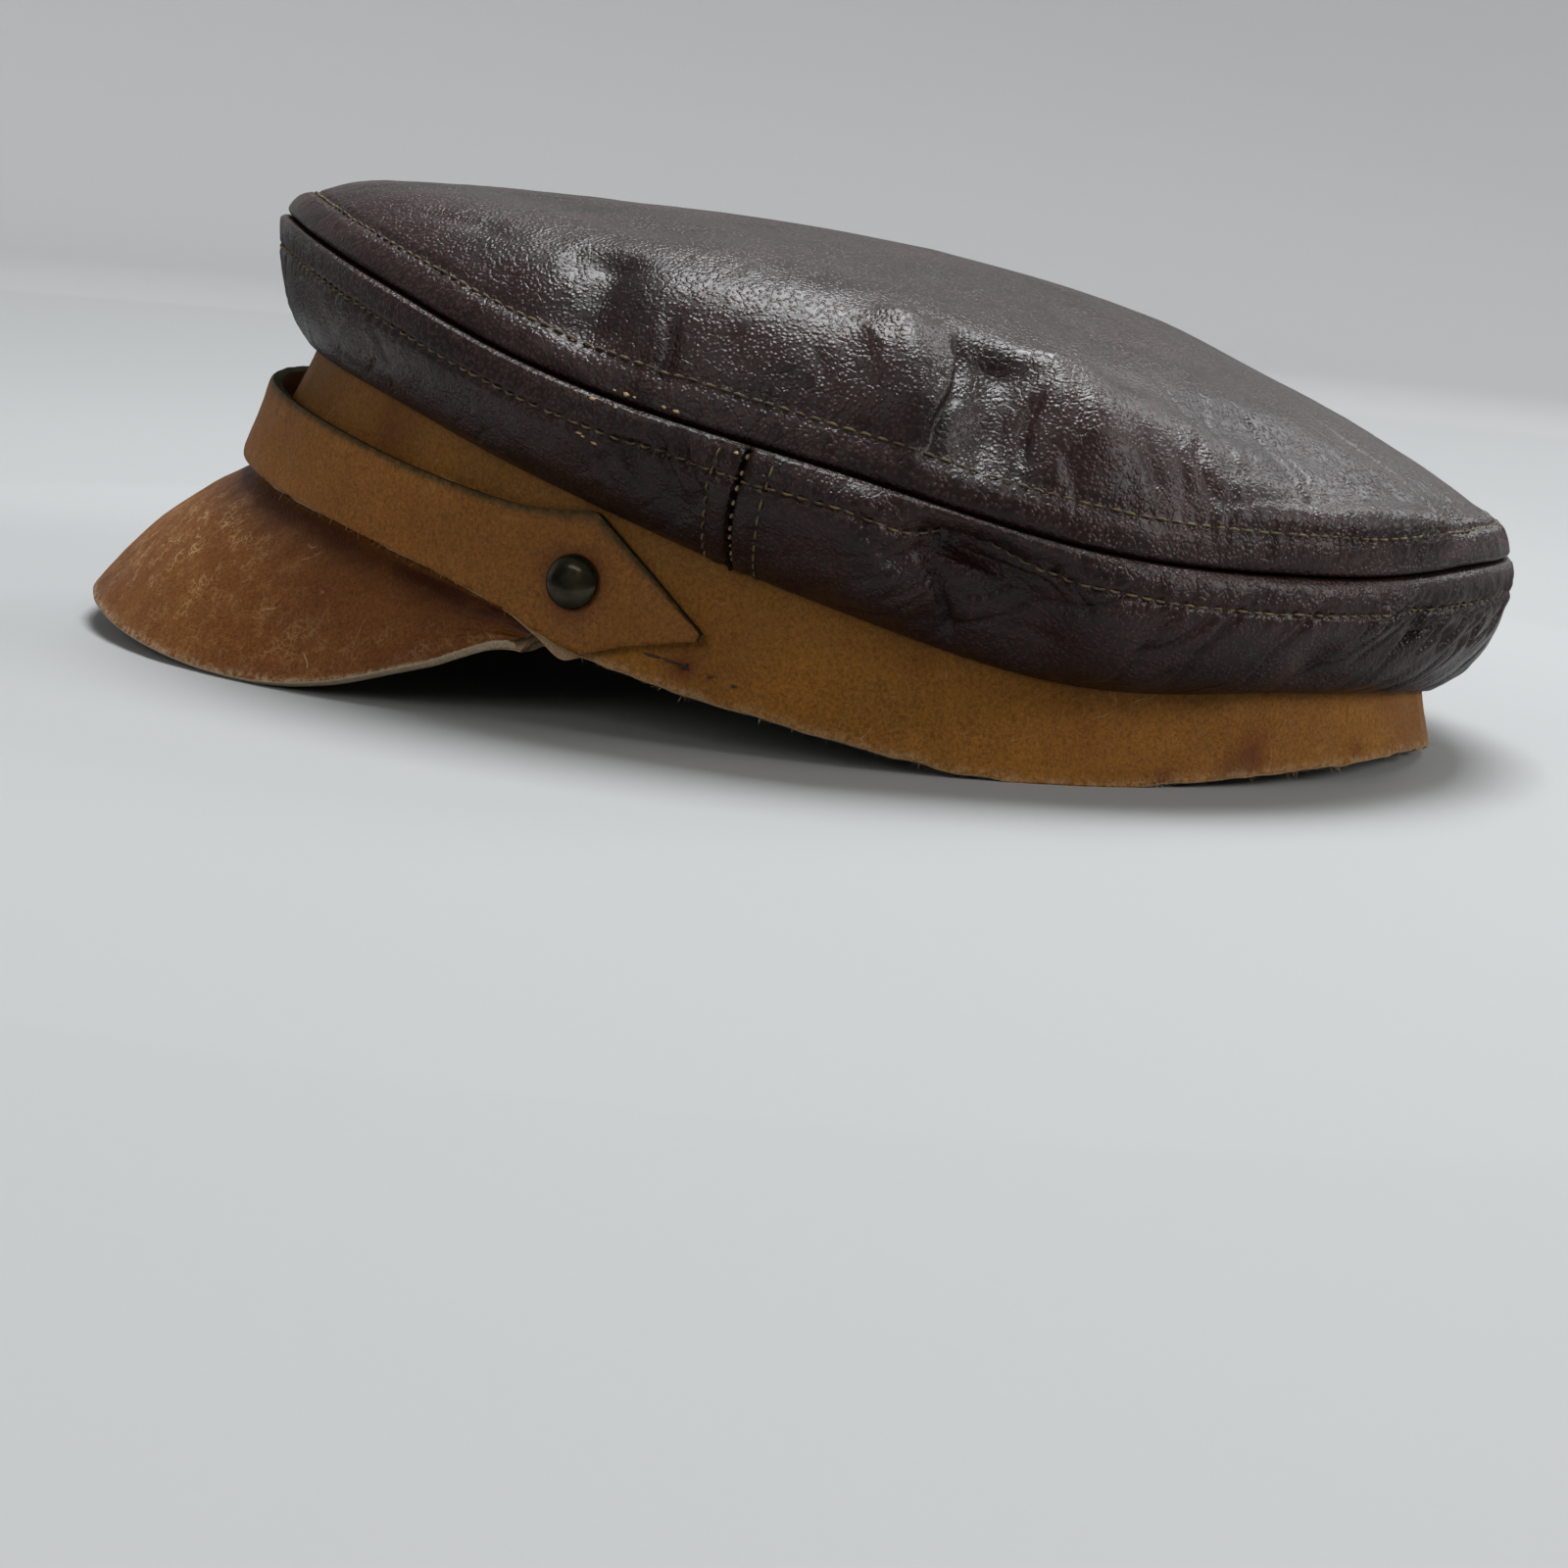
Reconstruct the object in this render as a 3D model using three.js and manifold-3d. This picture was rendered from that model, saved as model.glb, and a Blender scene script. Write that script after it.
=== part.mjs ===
// A leather newsboy cap in millimetres: +Z up, the peak towards -Y, the wearer's left towards +X.
// Its crown is a top and two side pieces, sewn to a band that carries a short peak, a strap and
// two rivets. It lies on the rim of its peak and on the back of its band.

import * as THREE from 'three';
import Module from 'manifold-3d';
import { mergeVertices } from 'three/addons/utils/BufferGeometryUtils.js';

const { degToRad, euclideanModulo, lerp, smoothstep } = THREE.MathUtils;

// Plan ovals; the egg share makes their backs rounder than their fronts
const egg = 0.03;

// Band: a strip of leather whose lower edge, the hem, is the opening for the head
const bandLength = 204.4;
const bandWidth = 168;
const bandCentre = 0.2;
const bandHeight = 28;
const bandWall = 2.3;
const bandFlare = 28;
const bandStraighten = 0.35;
const hemHeight = 13;
const hemSag = 14.8;

// Crown: the top and the sides meet at a seam that stands out past the band
const crownLength = 210.5;
const crownWidth = 190;
const crownRise = 22;
const crownWall = 1.6;
const seamHeight = 46;
const seamSag = 10.5;
const seamGap = 0.3;
const seamRoll = 1.4;
const seamLip = 0.9;
const lipFall = 0.2;
const sideSwell = 5.5;
const footHeight = 27;
const footSag = 12.3;
const sideSeamTurn = 96.5;
const sideSeamGap = 0.3;

// Peak: its flange is sewn inside the band, and its rim is an oval of its own
const peakWidth = 152;
const peakReach = 20.4;
const peakCentre = 44;
const peakDrop = 28.3;
const peakWall = 2;
const peakArch = 3.4;
const peakRootTurn = 111.5;
const peakRimTurn = 87;
const flangeHeight = 8;
const peakRootGap = 0.7;

// Strap: it runs round the front of the band between two rivets
const strapWidth = 14;
const strapWall = 2;
const strapMiddle = 10.6;
const strapSpring = 2.4;
const strapTipTurn = 97.3;

// Rivets: a domed cap outside, a shank through both leathers and a flat cap inside
const rivetTurn = 109;
const rivetUp = 9.4;
const rivetWidth = 8.3;
const rivetDome = 2.1;
const rivetBackWidth = 8.3;
const rivetBackWall = 0.8;
const shankWidth = 2.6;

// Gap between pieces that touch, and how far the leather is pressed flat where it rests
const clearance = 0.3;
const pressFlat = 0.3;

// Steps in the surfaces
const stepsRound = 80;
const stepsAcrossPeak = 32;
const stepsOutPeak = 6;
const stepsAlongStrap = 44;
const rivetSides = 12;

// The lines round the cap, from the back at 0 degrees to the front at 180. The seam, the foot of
// the crown and the hem each lie below their own height by a share of their own sag. Flare and
// swell are shares of the band's flare and of the crown side's swell.
const AROUND = [
  { turn: 0, seam: 0.10, foot: 0.53, hem: 0.07, flare: 1.00, swell: 0.70 },
  { turn: 22.5, seam: 0.17, foot: 0.41, hem: 0.03, flare: 0.85, swell: 0.80 },
  { turn: 45, seam: 0.65, foot: 0.58, hem: 0.38, flare: 0.50, swell: 1.00 },
  { turn: 67.5, seam: 1.00, foot: 1.00, hem: 0.92, flare: 0.28, swell: 1.00 },
  { turn: 90, seam: 0.86, foot: 0.79, hem: 0.96, flare: 0.22, swell: 1.00 },
  { turn: 107, seam: 0.81, foot: 0.51, hem: 0.91, flare: 0.24, swell: 0.90 },
  { turn: 118, seam: 0.67, foot: 0.33, hem: 0.66, flare: 0.29, swell: 0.79 },
  { turn: 135, seam: 0.30, foot: 0.08, hem: 0.54, flare: 0.42, swell: 0.60 },
  { turn: 157.5, seam: 0.00, foot: 0.00, hem: 0.52, flare: 0.70, swell: 0.42 },
  { turn: 180, seam: 0.05, foot: 0.08, hem: 0.51, flare: 0.84, swell: 0.38 },
];

// Rise of the crown's top from its middle to the seam, as shares of its height over the seam
const DOME = [
  { share: 0.00, back: 1.000, side: 1.000, front: 1.000 },
  { share: 0.20, back: 0.995, side: 0.975, front: 0.915 },
  { share: 0.40, back: 0.910, side: 0.920, front: 0.790 },
  { share: 0.60, back: 0.715, side: 0.850, front: 0.640 },
  { share: 0.80, back: 0.460, side: 0.755, front: 0.450 },
  { share: 0.90, back: 0.295, side: 0.590, front: 0.320 },
  { share: 0.96, back: 0.155, side: 0.340, front: 0.155 },
  { share: 1.00, back: 0.000, side: 0.000, front: 0.000 },
];

// Swell of the crown's side from the seam to its foot on the band
const SIDE = [
  { fall: 0.00, swell: 0.00 },
  { fall: 0.15, swell: 0.52 },
  { fall: 0.38, swell: 1.00 },
  { fall: 0.60, swell: 1.03 },
  { fall: 0.78, swell: 0.85 },
  { fall: 0.91, swell: 0.46 },
  { fall: 1.00, swell: 0.00 },
];

// Dents in the crown, each a line from A to B. On the top a share counts from the middle to the
// seam, on the side from the seam to the foot. Depth is a share of the crown's rise, and below
// nought it is a bulge. Spread is a share of the crown's half length.
const TOP_DENTS = [
  { turnA: 79, shareA: 0.88, turnB: 79, shareB: 0.98, depth: 0.26, spread: 0.070 },
  { turnA: 88, shareA: 0.86, turnB: 85, shareB: 0.95, depth: -0.10, spread: 0.050 },
  { turnA: 72, shareA: 0.84, turnB: 70, shareB: 0.93, depth: -0.09, spread: 0.060 },
  { turnA: 115, shareA: 0.90, turnB: 113, shareB: 0.97, depth: 0.10, spread: 0.050 },
  { turnA: 62, shareA: 0.80, turnB: 48, shareB: 0.84, depth: 0.13, spread: 0.085 },
  { turnA: 56, shareA: 0.94, turnB: 34, shareB: 0.93, depth: -0.10, spread: 0.060 },
  { turnA: 128, shareA: 0.70, turnB: 150, shareB: 0.66, depth: 0.08, spread: 0.110 },
  { turnA: -68, shareA: 0.88, turnB: -66, shareB: 0.97, depth: 0.18, spread: 0.080 },
  { turnA: -96, shareA: 0.89, turnB: -98, shareB: 0.96, depth: 0.12, spread: 0.070 },
  { turnA: -48, shareA: 0.80, turnB: -36, shareB: 0.84, depth: 0.10, spread: 0.080 },
];
const SIDE_DENTS = [
  { turnA: 79, shareA: 0.22, turnB: 73, shareB: 0.52, depth: 0.24, spread: 0.062 },
  { turnA: 88, shareA: 0.30, turnB: 85, shareB: 0.62, depth: -0.07, spread: 0.050 },
  { turnA: 68, shareA: 0.55, turnB: 63, shareB: 0.70, depth: -0.06, spread: 0.060 },
  { turnA: 82, shareA: 0.40, turnB: 79, shareB: 0.88, depth: 0.09, spread: 0.030 },
  { turnA: 104, shareA: 0.30, turnB: 101, shareB: 0.60, depth: 0.08, spread: 0.035 },
  { turnA: 46, shareA: 0.70, turnB: 36, shareB: 0.45, depth: 0.08, spread: 0.045 },
  { turnA: -70, shareA: 0.25, turnB: -64, shareB: 0.60, depth: 0.17, spread: 0.065 },
  { turnA: -118, shareA: 0.40, turnB: -112, shareB: 0.70, depth: 0.09, spread: 0.050 },
];

// Rim of the peak from its end at the side to its tip: its drop below the band's front hem, and
// how much of the flange and the arch it has there
const PEAK = [
  { share: 0.00, drop: 0.293, flange: 0.30, arch: 0.0 },
  { share: 0.10, drop: 0.526, flange: 0.70, arch: 0.2 },
  { share: 0.22, drop: 0.797, flange: 1.00, arch: 0.5 },
  { share: 0.33, drop: 0.937, flange: 1.00, arch: 0.8 },
  { share: 0.50, drop: 1.010, flange: 1.00, arch: 1.0 },
  { share: 0.75, drop: 1.020, flange: 1.00, arch: 1.0 },
  { share: 1.00, drop: 1.000, flange: 1.00, arch: 1.0 },
];

// Edges of the strap from its tip to the front, over and under its middle line, as shares of half
// its width; the spring is how far its upper edge stands off the band
const STRAP = [
  { share: 0.00, over: -0.40, under: 0.56, spring: 0.0 },
  { share: 0.07, over: 0.52, under: 1.10, spring: 0.0 },
  { share: 0.136, over: 1.32, under: 1.82, spring: 0.0 },
  { share: 0.175, over: 1.18, under: 1.55, spring: 0.0 },
  { share: 0.22, over: 1.00, under: 1.24, spring: 0.1 },
  { share: 0.28, over: 0.94, under: 0.98, spring: 0.3 },
  { share: 0.38, over: 0.95, under: 0.86, spring: 0.6 },
  { share: 0.55, over: 1.05, under: 0.78, spring: 0.9 },
  { share: 1.00, over: 1.12, under: 0.76, spring: 1.0 },
];

const MATERIALS = {
  crownLeather: new THREE.MeshStandardMaterial({ color: 0x2c1d1a, roughness: 0.42 }),
  bandLeather: new THREE.MeshStandardMaterial({ color: 0xa06a2c, roughness: 0.7 }),
  peakLeather: new THREE.MeshStandardMaterial({ color: 0x7a4424, roughness: 0.6 }),
  strapLeather: new THREE.MeshStandardMaterial({ color: 0x94602f, roughness: 0.62 }),
  brass: new THREE.MeshStandardMaterial({ color: 0x4a4634, roughness: 0.35, metalness: 0.9 }),
};

// Tables

// A column read between a table's rows, on a curve that runs smoothly through them
function read(table, key, column, at, levelEnds = true) {
  const last = table.length - 1;
  let row = 0;
  while (row < last - 1 && at > table[row + 1][key]) row += 1;
  const slope = (index) => {
    if (levelEnds && (index === 0 || index === last)) return 0;
    const before = table[Math.max(index - 1, 0)];
    const after = table[Math.min(index + 1, last)];
    return (after[column] - before[column]) / (after[key] - before[key]);
  };
  const from = table[row];
  const to = table[row + 1];
  const width = to[key] - from[key];
  const s = (at - from[key]) / width;
  return from[column] * (1 + 2 * s) * (1 - s) ** 2
    + slope(row) * width * s * (1 - s) ** 2
    + to[column] * (3 - 2 * s) * s ** 2
    - slope(row + 1) * width * (1 - s) * s ** 2;
}

const foldedTurn = (turn) => Math.abs(euclideanModulo(turn + 180, 360) - 180);
const around = (column, turn) => read(AROUND, 'turn', column, foldedTurn(turn));
const seamLine = (turn) => seamHeight - seamSag * around('seam', turn);
const footLine = (turn) => footHeight - footSag * around('foot', turn);
const hemLine = (turn) => hemHeight - hemSag * around('hem', turn);

// Depth at one place of all the dents in a list; one share of the surface is shareLength long
function dentDepth(dents, turn, share, shareLength) {
  const arc = (degrees) => degToRad(degrees) * (crownLength + crownWidth) / 4;
  let depth = 0;
  for (const dent of dents) {
    const offset = euclideanModulo(turn - dent.turnA + 180, 360) - 180;
    const place = new THREE.Vector2(arc(offset), (share - dent.shareA) * shareLength);
    const line = new THREE.Vector2(
      arc(dent.turnB - dent.turnA),
      (dent.shareB - dent.shareA) * shareLength,
    );
    const along = THREE.MathUtils.clamp(place.dot(line) / line.lengthSq(), 0, 1);
    const distance = place.distanceTo(line.multiplyScalar(along));
    const spread = dent.spread * crownLength / 2;
    depth += dent.depth * crownRise * Math.exp(-((distance / spread) ** 2));
  }
  return depth;
}

// Surfaces

// A point of an oval at a turn from the back, at 90 degrees on the wearer's left
function ovalPoint(turn, length, width, height) {
  const angle = degToRad(turn);
  return new THREE.Vector3(
    (width / 2) * Math.sin(angle) * (1 + egg * Math.cos(angle)),
    (length / 2) * Math.cos(angle),
    height,
  );
}

// The level direction out of an oval at a turn
function ovalOutward(turn, length, width) {
  const step = 0.5;
  const along = ovalPoint(turn + step, length, width, 0).sub(ovalPoint(turn - step, length, width, 0));
  return new THREE.Vector3(-along.y, along.x, 0).normalize();
}

// The outward normal of a skin, a function of a place down it from 0 to 1 and a turn
function normalOf(skin, down, turn) {
  const stepDown = 0.004;
  const stepTurn = 0.5;
  const place = Math.max(down, stepDown);
  const high = skin(Math.max(place - stepDown, stepDown / 2), turn);
  const low = skin(Math.min(place + stepDown, 1), turn);
  const across = skin(place, turn + stepTurn).sub(skin(place, turn - stepTurn));
  return across.cross(low.sub(high)).normalize();
}

// A skin moved along its own normals, outwards by a distance that may change from place to place
function moved(skin, distance) {
  return (down, turn) => (
    skin(down, turn).addScaledVector(normalOf(skin, down, turn), distance(down, turn))
  );
}

// Geometry

const blend = (from, to, count) => (
  Array.from({ length: count + 1 }, (_, index) => lerp(from, to, index / count))
);

// A closed solid between an outer and an inner grid of points, rows down and columns round; a
// closed grid meets itself round the cap, and a grid with a pole starts at a single point
function wallGeometry(outer, inner, { closed = false, pole = false } = {}) {
  const vertices = [];
  const quad = (...corners) => {
    for (const index of [0, 1, 2, 0, 2, 3]) vertices.push(...corners[index].toArray());
  };
  const columns = outer[0].length;
  const lastRow = outer.length - 1;
  for (let column = 0; column < (closed ? columns : columns - 1); column += 1) {
    const next = (column + 1) % columns;
    for (let row = 0; row < lastRow; row += 1) {
      quad(outer[row][column], outer[row][next], outer[row + 1][next], outer[row + 1][column]);
      quad(inner[row][column], inner[row + 1][column], inner[row + 1][next], inner[row][next]);
    }
    if (!pole) quad(outer[0][column], inner[0][column], inner[0][next], outer[0][next]);
    quad(outer[lastRow][column], outer[lastRow][next], inner[lastRow][next], inner[lastRow][column]);
  }
  if (!closed) {
    const end = columns - 1;
    for (let row = 0; row < lastRow; row += 1) {
      quad(outer[row][0], outer[row + 1][0], inner[row + 1][0], inner[row][0]);
      quad(outer[row][end], inner[row][end], inner[row + 1][end], outer[row + 1][end]);
    }
  }
  return welded(vertices);
}

// A geometry with its shared vertices merged and its flattened triangles dropped
function welded(vertices) {
  const geometry = new THREE.BufferGeometry();
  geometry.setAttribute('position', new THREE.Float32BufferAttribute(vertices, 3));
  const merged = mergeVertices(geometry, 1e-4);
  const index = merged.getIndex().array;
  const kept = [];
  for (let i = 0; i < index.length; i += 3) {
    const [a, b, c] = [index[i], index[i + 1], index[i + 2]];
    if (a !== b && b !== c && c !== a) kept.push(a, b, c);
  }
  merged.setIndex(kept);
  return merged;
}

// A leather wall under a skin. Its edges are cut level where levelEdges says so, so that they
// stand square to the edge that they meet.
function leather(skin, rows, turns, wall, { levelEdges = false, closed = false } = {}) {
  const outer = rows.map((down) => turns.map((turn) => skin(down, turn)));
  const inner = rows.map((down, row) => turns.map((turn, column) => {
    const normal = normalOf(skin, down, turn);
    const edge = row === 0 || row === rows.length - 1;
    if (levelEdges && edge) normal.setZ(0).normalize();
    return outer[row][column].clone().addScaledVector(normal, -wall);
  }));
  return wallGeometry(outer, inner, { closed });
}

// Joining and cutting

const wasm = await Module();
wasm.setup();

function solidOf(geometry) {
  return new wasm.Manifold(new wasm.Mesh({
    numProp: 3,
    vertProperties: new Float32Array(geometry.getAttribute('position').array),
    triVerts: new Uint32Array(geometry.getIndex().array),
  }));
}

function geometryOf(solid) {
  const { vertProperties, triVerts } = solid.getMesh();
  const geometry = new THREE.BufferGeometry();
  geometry.setAttribute('position', new THREE.Float32BufferAttribute(vertProperties, 3));
  geometry.setIndex(Array.from(triVerts));
  return geometry;
}

const cut = (geometry, ...tools) => geometryOf(
  tools.reduce((solid, tool) => solid.subtract(solidOf(tool)), solidOf(geometry)),
);

// Three's own solids with their doubled seam vertices merged
function plainSolid(geometry) {
  geometry.deleteAttribute('normal');
  geometry.deleteAttribute('uv');
  const merged = mergeVertices(geometry, 1e-4);
  return welded(Array.from(merged.toNonIndexed().getAttribute('position').array));
}

// Band

// The band's outer face at a height above its hem; its flare straightens towards its top
function bandPoint(turn, up) {
  const slope = Math.tan(degToRad(bandFlare * around('flare', turn)));
  const inset = slope * up * (1 - bandStraighten * up / bandHeight);
  const point = ovalPoint(turn, bandLength, bandWidth, hemLine(turn) + up);
  point.y += bandCentre;
  return point.addScaledVector(ovalOutward(turn, bandLength, bandWidth), -inset);
}

const bandSkin = (down, turn) => bandPoint(turn, bandHeight * (1 - down));
const bandNormal = (turn, up) => normalOf(bandSkin, 1 - up / bandHeight, turn);
const roundTurns = blend(0, 360, stepsRound).slice(0, -1);
const BAND_ROWS = [0, 0.4, 0.75, 1];

function bandGeometry() {
  return leather(bandSkin, BAND_ROWS, roundTurns, bandWall, { closed: true });
}

// The room that the band takes with a clearance all round
function bandRoom() {
  const grown = (down, turn) => bandPoint(
    turn,
    lerp(bandHeight + clearance, -clearance, down),
  ).addScaledVector(bandNormal(turn, bandHeight * (1 - down)), clearance);
  return leather(grown, BAND_ROWS, roundTurns, bandWall + 2 * clearance, { closed: true });
}

// Crown

// The top before it is dented: share runs from its middle to the seam
function plainTop(share, turn) {
  const angle = degToRad(turn);
  const weights = {
    back: Math.max(Math.cos(angle), 0) ** 2,
    side: Math.sin(angle) ** 2,
    front: Math.max(-Math.cos(angle), 0) ** 2,
  };
  let rise = 0;
  for (const column of ['back', 'side', 'front']) {
    rise += weights[column] * read(DOME, 'share', column, share, false);
  }
  const edge = seamLine(turn) + seamRoll;
  const height = edge + (seamHeight + crownRise - edge) * rise;
  return ovalPoint(turn, crownLength * share, crownWidth * share, height);
}

// Dents fade out towards the seam and towards the foot, over these shares of each surface
const topFade = 0.03;
const sideHeadFade = 0.14;
const sideFootFade = 0.16;

const topSkin = moved(plainTop, (share, turn) => (
  -dentDepth(TOP_DENTS, turn, share, crownWidth) * smoothstep(1 - share, 0, topFade)
));

function crownTopGeometry() {
  const rows = [0, 0.16, 0.32, 0.48, 0.61, 0.71, 0.79, 0.855, 0.905, 0.945, 0.975, 1];
  const outer = rows.map((share) => roundTurns.map((turn) => topSkin(share, turn)));
  const inner = rows.map((share, row) => roundTurns.map((turn, column) => {
    const normal = row === 0 ? new THREE.Vector3(0, 0, 1) : normalOf(topSkin, share, turn);
    if (share === 1) normal.setZ(0).normalize();
    return outer[row][column].clone().addScaledVector(normal, -crownWall);
  }));
  const level = seamGap / 2;
  for (const grid of [outer, inner]) {
    grid.push(grid.at(-1).map((point, column) => (
      point.clone().setZ(seamLine(roundTurns[column]) + level)
    )));
  }
  return wallGeometry(outer, inner, { closed: true, pole: true });
}

// The side before it is dented: fall runs from the seam to the foot, which stands off the band
// by the leather's own wall and the clearance
function plainSide(fall, turn) {
  const head = ovalPoint(turn, crownLength, crownWidth, seamLine(turn) - seamGap / 2);
  const outward = ovalOutward(turn, crownLength, crownWidth);
  head.addScaledVector(outward, seamLip * (1 - smoothstep(fall, 0, lipFall)));
  const foot = bandPoint(turn, footLine(turn) - hemLine(turn));
  foot.addScaledVector(outward, clearance + crownWall);
  const swell = sideSwell * around('swell', turn) * read(SIDE, 'fall', 'swell', fall, false);
  return head.lerp(foot, fall).addScaledVector(outward, swell);
}

const sideSkin = moved(plainSide, (fall, turn) => {
  const height = seamHeight - footHeight;
  const fade = smoothstep(fall, 0, sideHeadFade) * smoothstep(1 - fall, 0, sideFootFade);
  return -dentDepth(SIDE_DENTS, turn, fall, height) * fade;
});

function crownSideGeometry(fromTurn, toTurn) {
  const rows = [0, 0.07, 0.16, 0.29, 0.43, 0.58, 0.73, 0.88, 1];
  const steps = Math.round((toTurn - fromTurn) * stepsRound / 360);
  const endGap = (sideSeamGap / crownWidth) * (180 / Math.PI);
  const turns = blend(fromTurn + endGap, toTurn - endGap, steps);
  return leather(sideSkin, rows, turns, crownWall, { levelEdges: true });
}

// Peak

// One cut through the peak at a share from its left end, over its tip, to its right end: its
// middle line, as distances out from the band's inner face and heights
function peakSection(place) {
  const side = place < 0.5 ? 1 : -1;
  const share = 1 - Math.abs(1 - 2 * place);
  const rimTurn = lerp(peakRimTurn, 180, share);
  const rimLength = bandLength + 2 * (peakReach - peakCentre);
  const rim = ovalPoint(side * rimTurn, rimLength, peakWidth, 0);
  rim.y -= peakCentre;
  rim.z = hemLine(180) - peakDrop * read(PEAK, 'share', 'drop', share);
  const rootTurn = side * lerp(peakRootTurn, 180, share);
  const inside = (up, depth) => (
    bandPoint(rootTurn, up).addScaledVector(bandNormal(rootTurn, up), -bandWall - depth)
  );
  const root = inside(0, 0);
  const out = new THREE.Vector2(rim.x - root.x, rim.y - root.y);
  const reach = out.length();
  out.normalize();
  const flange = flangeHeight * read(PEAK, 'share', 'flange', share);
  const line = [flange, flange / 2, 0].map((up) => {
    const point = inside(up, 2 * clearance + peakWall / 2);
    return new THREE.Vector2((point.x - root.x) * out.x + (point.y - root.y) * out.y, point.z);
  });
  const start = hemLine(rootTurn) - peakWall / 2 - peakRootGap;
  const arch = peakArch * read(PEAK, 'share', 'arch', share);
  for (const step of blend(0, 1, stepsOutPeak)) {
    line.push(new THREE.Vector2(
      lerp(-clearance, reach, step),
      lerp(start, rim.z, step) + arch * Math.sin(Math.PI * step),
    ));
  }
  return { line, root, out };
}

function peakGeometry() {
  const sections = blend(0, 1, stepsAcrossPeak).map(peakSection);
  const face = (offset) => sections.map(({ line, root, out }) => line.map((point, index) => {
    const before = line[Math.max(index - 1, 0)];
    const after = line[Math.min(index + 1, line.length - 1)];
    const across = after.clone().sub(before).normalize();
    const distance = point.x - across.y * offset;
    const height = point.y + across.x * offset;
    return new THREE.Vector3(root.x + out.x * distance, root.y + out.y * distance, height);
  }));
  const transpose = (grid) => grid[0].map((_, column) => grid.map((row) => row[column]));
  const upper = transpose(face(peakWall / 2));
  const lower = transpose(face(-peakWall / 2));
  return cut(wallGeometry(upper, lower), bandRoom());
}

// Strap

// A face of the strap at a stand from the band: down runs from its upper to its lower edge
function strapPoint(down, turn, stand) {
  const share = Math.max((foldedTurn(turn) - strapTipTurn) / (180 - strapTipTurn), 0);
  const over = strapMiddle + (strapWidth / 2) * read(STRAP, 'share', 'over', share);
  const under = strapMiddle - (strapWidth / 2) * read(STRAP, 'share', 'under', share);
  const spring = strapSpring * read(STRAP, 'share', 'spring', share) * (1 - down);
  const up = lerp(over, under, down) - hemLine(turn);
  return bandPoint(turn, up).addScaledVector(bandNormal(turn, up), stand + spring);
}

function strapGeometry() {
  const half = STRAP.flatMap(({ share }, index) => {
    const next = STRAP[index + 1];
    if (!next) return [1];
    const steps = Math.max(Math.round((next.share - share) * stepsAlongStrap / 2), 1);
    return blend(share, next.share, steps).slice(0, -1);
  });
  const left = half.map((share) => lerp(strapTipTurn, 180, share));
  const right = left.slice(0, -1).reverse().map((turn) => 360 - turn);
  const face = (stand) => [0, 0.33, 0.67, 1].map((down) => (
    [...left, ...right].map((turn) => strapPoint(down, turn, stand))
  ));
  return wallGeometry(face(clearance + strapWall), face(clearance));
}

// Rivets

// Places a shape that was made on the Y axis on the band, with its origin on the outer face
function onBand(geometry, side) {
  const turn = side * rivetTurn;
  const normal = bandNormal(turn, rivetUp);
  const axis = new THREE.Vector3(0, 1, 0);
  geometry.applyQuaternion(new THREE.Quaternion().setFromUnitVectors(axis, normal));
  return geometry.translate(...bandPoint(turn, rivetUp).toArray());
}

function rivetGeometry(side) {
  const seat = 2 * clearance + strapWall;
  const back = -(bandWall + clearance);
  const profile = [
    [0, back - rivetBackWall],
    [rivetBackWidth / 2 - rivetBackWall / 2, back - rivetBackWall],
    [rivetBackWidth / 2, back - rivetBackWall / 2],
    [rivetBackWidth / 2, back],
    [shankWidth / 2, back],
    [shankWidth / 2, seat],
    [rivetWidth / 2, seat],
  ];
  const domeSteps = 4;
  for (const angle of blend(20, 90, domeSteps)) {
    const radius = (rivetWidth / 2) * Math.cos(degToRad(angle));
    profile.push([angle === 90 ? 0 : radius, seat + rivetDome * Math.sin(degToRad(angle))]);
  }
  const points = profile.map(([radius, along]) => new THREE.Vector2(radius, along));
  return onBand(plainSolid(new THREE.LatheGeometry(points, rivetSides)), side);
}

// The hole for a rivet's shank through the strap and the band
function rivetHole(side) {
  const radius = shankWidth / 2 + clearance;
  const length = 2 * (bandWall + strapWall) + 6 * clearance;
  return onBand(plainSolid(new THREE.CylinderGeometry(radius, radius, length, rivetSides)), side);
}

// Resting

// The tilt at which the back of the band and the rim of the peak are level with each other
function restTilt(band, peak) {
  const lowest = (geometry, angle, counts) => {
    const position = geometry.getAttribute('position');
    let low = Infinity;
    for (let i = 0; i < position.count; i += 1) {
      const y = position.getY(i);
      if (counts(y)) low = Math.min(low, position.getZ(i) * Math.cos(angle) - y * Math.sin(angle));
    }
    return low;
  };
  let [flat, steep] = [0, Math.PI / 4];
  for (let step = 0; step < 40; step += 1) {
    const angle = (flat + steep) / 2;
    const back = lowest(band, angle, (y) => y > 0);
    const front = lowest(peak, angle, () => true);
    if (back > front) flat = angle;
    else steep = angle;
  }
  return flat;
}

const holes = [rivetHole(1), rivetHole(-1)];
const pieces = {
  crown_top: [crownTopGeometry(), MATERIALS.crownLeather],
  crown_side_front: [
    crownSideGeometry(sideSeamTurn, 360 - sideSeamTurn),
    MATERIALS.crownLeather,
  ],
  crown_side_back: [crownSideGeometry(-sideSeamTurn, sideSeamTurn), MATERIALS.crownLeather],
  band: [cut(bandGeometry(), ...holes), MATERIALS.bandLeather],
  peak: [peakGeometry(), MATERIALS.peakLeather],
  strap: [cut(strapGeometry(), ...holes), MATERIALS.strapLeather],
  rivet_left: [rivetGeometry(1), MATERIALS.brass],
  rivet_right: [rivetGeometry(-1), MATERIALS.brass],
};

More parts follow.
